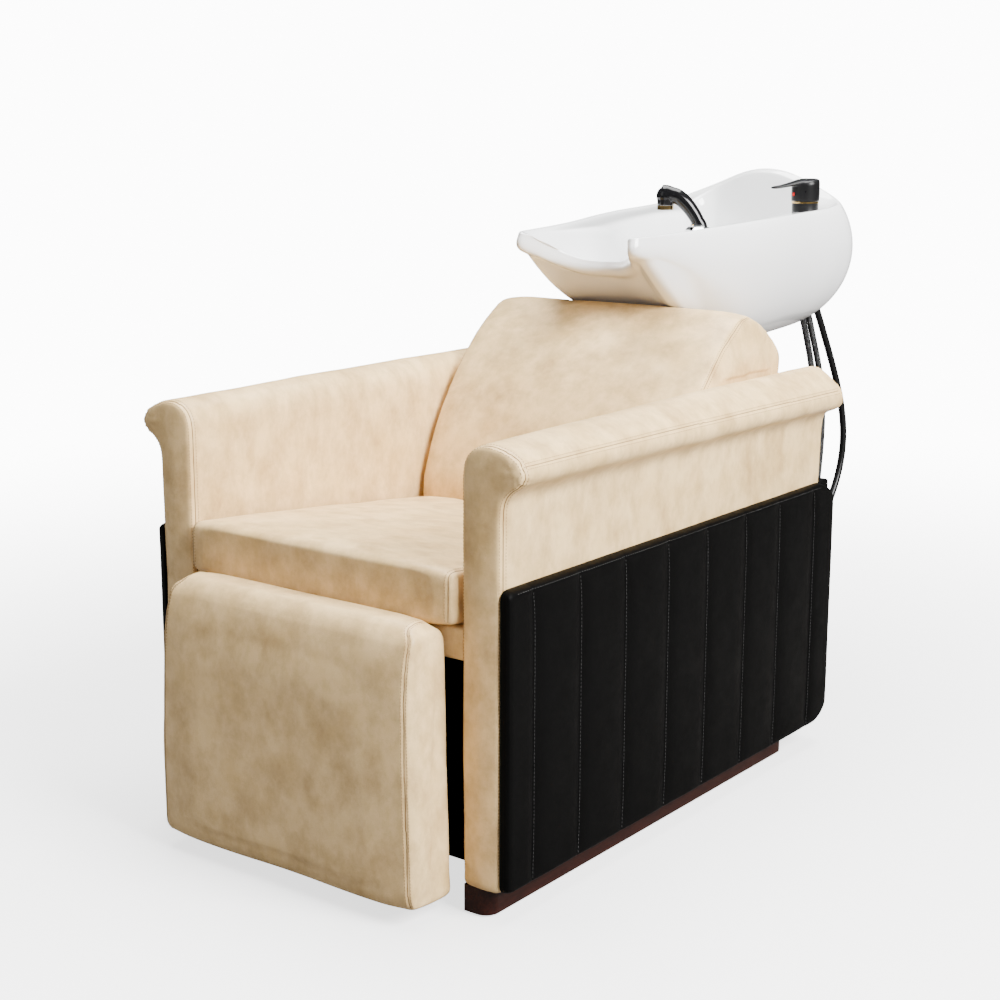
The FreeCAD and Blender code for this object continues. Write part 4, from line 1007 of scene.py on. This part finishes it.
REST_OUTLINE = [
    (-6, 25), (-6, 386), (-10, 396), (-18, 400), (-22, 410), (-45, 411.5), (-62, 406), (-74, 391),
    (-83, 360), (-88, 318), (-91, 188), (-91, 38), (-84, 25),
]
REST_RADII = [6, 6, 4, 4, 6, 16, 14, 14, 24, 40, 40, 12, 8]


def rest_point(u, v, w):
    """The leg rest narrows slightly upwards and its top corners are rounded."""
    half = 229.0
    limit = half * (1.035 - 0.045 * (v - 25) / 380)
    if v > 388:
        limit -= 15 - math.sqrt(max(15**2 - min(v - 388, 14.9) ** 2, 0))
    return P(w / half * limit, u, v)


def rest_line(x):
    """The seam where the front cover meets the side of the leg rest."""
    steps = [(-86, 31), (-91, 50), (-91, 188), (-88, 318), (-83, 360), (-74, 391), (-62, 406)]
    steps += [(-45, 411), (-24, 409)]
    return smooth_line([rest_point(u, v, x) for u, v in steps], 60)


def build_leg_rest():
    outline = round_profile(REST_OUTLINE, REST_RADII)
    rest = extruded("leg_pad", outline, -228, 228, rest_point, CREAM, edge=6, spacing=7)
    seams = [rest_line(side * 224) for side in (-1, 1)]
    inflate(rest, 0.0042, 0.006, seams, least=0.004)
    clamp(rest, (None, FRONT - 0.099, 0.0225), (None, FRONT - 0.003, 0.4112))
    press_seams(rest, seams, 0.003, 0.0018)
    ripple(rest, 0.12, 0.0016, 21.7)
    finish_cushion(rest, "leg_rest", ["leg_rest_pad"])
    rows = [rest_line(side * x) for side in (-1, 1) for x in (219.5, 228)]
    stitch("leg_stitches", rest, rows, "leg_rest", CREAM_THREAD)
    # The dark line in each leg rest seam's valley is painted shade.
    seam_fold_shade("leg_seam_shade", rest, seams, "leg_rest")


build_seat()
build_back()
build_leg_rest()

# ---- fittings --------------------------------------------------------------------------------------

SPRAY_FOOT = (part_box("spray_collar")[0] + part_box("spray_collar")[1]) / 2
SPRAY_FOOT.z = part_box("spray_collar")[1].z


def build_spray():
    """Hand spray: a swelling tube that leans over to a ball head."""
    steps = [((0, 0, -1.5), 11.6), ((-1.5, -0.6, 5), 11.2), ((-8, -3.3, 17), 11.6), ((-19, -7.7, 32), 12.4),
             ((-31, -12.5, 43), 13.0), ((-42, -17, 47), 13.6), ((-52, -21, 46), 14.4)]
    line = [SPRAY_FOOT + Vector(step) / 1000 for step, _ in steps]
    dense = catmull([(*p, r) for p, (_, r) in zip(line, steps)], 6)[: (len(steps) - 1) * 6 + 1]
    handle = tube("spray_body", [Vector(row[:3]) for row in dense], dense[:, 3] / 1000, GLOSS_BLACK,
                  sides=24, up=(0.38, -0.92, 0))
    head = Vector(line[-1])
    mesh = bmesh.new()
    mesh.from_mesh(handle.data)
    ball = bmesh.ops.create_uvsphere(mesh, u_segments=32, v_segments=20, radius=0.0155)
    bmesh.ops.translate(mesh, verts=ball["verts"], vec=head)
    nozzle = bmesh.ops.create_cone(mesh, cap_ends=True, segments=32, radius1=0.0134, radius2=0.0148,
                                   depth=0.014)
    bmesh.ops.translate(mesh, verts=nozzle["verts"], vec=head + Vector((0, 0, -0.0085)))
    mesh.to_mesh(handle.data)
    mesh.free()
    apply_modifier(handle, "REMESH", mode="VOXEL", voxel_size=0.0009, use_smooth_shade=True)
    apply_modifier(handle, "SMOOTH", factor=0.5, iterations=8)
    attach(handle, "hand_spray")
    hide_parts("spray_handle")


def build_lever():
    """Mixer cap whose sloping top runs out into a flat lever."""
    low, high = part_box("mixer_ring")
    axis = Vector(((low.x + high.x) / 2, (low.y + high.y) / 2, 0))
    base = high.z + 0.0006
    turn = Matrix.Rotation(math.radians(62), 4, "Z")
    hollow = [(1.0, 25.0), (20.5, 25.0), (20.5, 0.0)]
    rings = hollow + [(24.2, 0.0), (24.8, 1.0), (25.0, 12.0), (25.0, 30.0), (24.0, 34.5), (20.5, 37.0),
                      (12.0, 38.4), (1.0, 38.8)]
    crown = []
    for radius, z in rings:
        for angle in around(48):
            x, y = radius * math.cos(angle), radius * math.sin(angle)
            crown.append(Vector((x, y, z + 0.13 * x * unit((z - 12) / 20) - 2)) / 1000)
    stations = [(2, 19, 5.0, 33.5), (-12, 18, 4.6, 32.0), (-24, 15, 4.0, 29.5), (-38, 11.5, 3.4, 26.5),
                (-54, 9.5, 2.9, 23.8), (-66, 8.5, 2.5, 22.6), (-70.5, 5.5, 1.6, 22.3)]
    blade = [Vector((x, half * math.cos(a), z + thick * math.sin(a))) / 1000
             for x, half, thick, z in stations for a in around(20)]
    faces = capped_faces(len(rings), 48) + capped_faces(len(stations), 20, len(crown))
    cap = new_object("mixer_cap", crown + blade, faces, SATIN_BLACK)
    face_outwards(cap)
    apply_modifier(cap, "REMESH", mode="VOXEL", voxel_size=0.0009, use_smooth_shade=True)
    apply_modifier(cap, "SMOOTH", factor=0.5, iterations=6)
    cap.data.transform(Matrix.Translation(axis + Vector((0, 0, base + 0.002))) @ turn)
    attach(cap, "mixer_lever")
    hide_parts("mixer_lever")


build_spray()
build_lever()

# ---- stage -----------------------------------------------------------------------------------------


def pale_floor(name):
    """Pale ground that fades into the white surroundings and reflects little light upwards."""
    m = Nodes(name)
    tone = m.noise(3.0, 3, 0.5)
    m.colour(m.ramp(tone, [(0.3, 0.86), (0.7, 0.885)]))
    m.set(Roughness=0.7, Specular_IOR_Level=0.1)
    rays = m.add("ShaderNodeLightPath").outputs["Is Camera Ray"]
    dim = m.add("ShaderNodeBsdfDiffuse", {"Color": (0.20, 0.19, 0.18)}).outputs[0]
    white = m.add("ShaderNodeEmission", {"Strength": SURROUND}).outputs[0]
    away = m.add("ShaderNodeVectorMath", {0: m.place}, operation="LENGTH").outputs["Value"]
    far = m.ramp(m.maths("DIVIDE", away, 8.0), [(0.08, 0.16), (0.42, 1.0)], "EASE")
    fade = m.add("ShaderNodeMixShader", {0: far, 1: m.shader.outputs[0], 2: white}).outputs[0]
    pick = m.add("ShaderNodeMixShader", {0: rays, 1: dim, 2: fade}).outputs[0]
    m.join(pick, m.output.inputs[0])
    return m.material


SURROUND = 12.0
floor = new_object("floor", [(-40, -40, 0), (40, -40, 0), (40, 40, 0), (-40, 40, 0)], [(0, 1, 2, 3)],
                   pale_floor("pale_floor"))


def area_light(name, place, target, power, extent):
    light = bpy.data.lights.new(name, "AREA")
    light.energy = power
    light.size = extent
    holder = bpy.data.objects.new(name, light)
    scene.collection.objects.link(holder)
    holder.location = place
    holder.rotation_euler = (Vector(target) - Vector(place)).to_track_quat("-Z", "Y").to_euler()


area_light("key", (3.7, -0.5, 2.9), (0, 0, 0.45), 720, 2.2)
area_light("top", (-0.2, 0.5, 4.0), (0, 0.1, 0.4), 430, 2.8)
area_light("front", (-1.6, -4.2, 2.2), (0, 0, 0.45), 30, 2.6)
world = bpy.data.worlds.new("studio")
scene.world = world
world.use_nodes = True
nodes, links = world.node_tree.nodes, world.node_tree.links
background = nodes["Background"]
background.inputs[0].default_value = (1, 1, 1, 1)
seen = nodes.new("ShaderNodeLightPath").outputs["Is Camera Ray"]
strength = nodes.new("ShaderNodeMapRange")
strength.inputs["To Min"].default_value = 0.22
strength.inputs["To Max"].default_value = SURROUND
links.new(seen, strength.inputs["Value"])
links.new(strength.outputs[0], background.inputs[1])
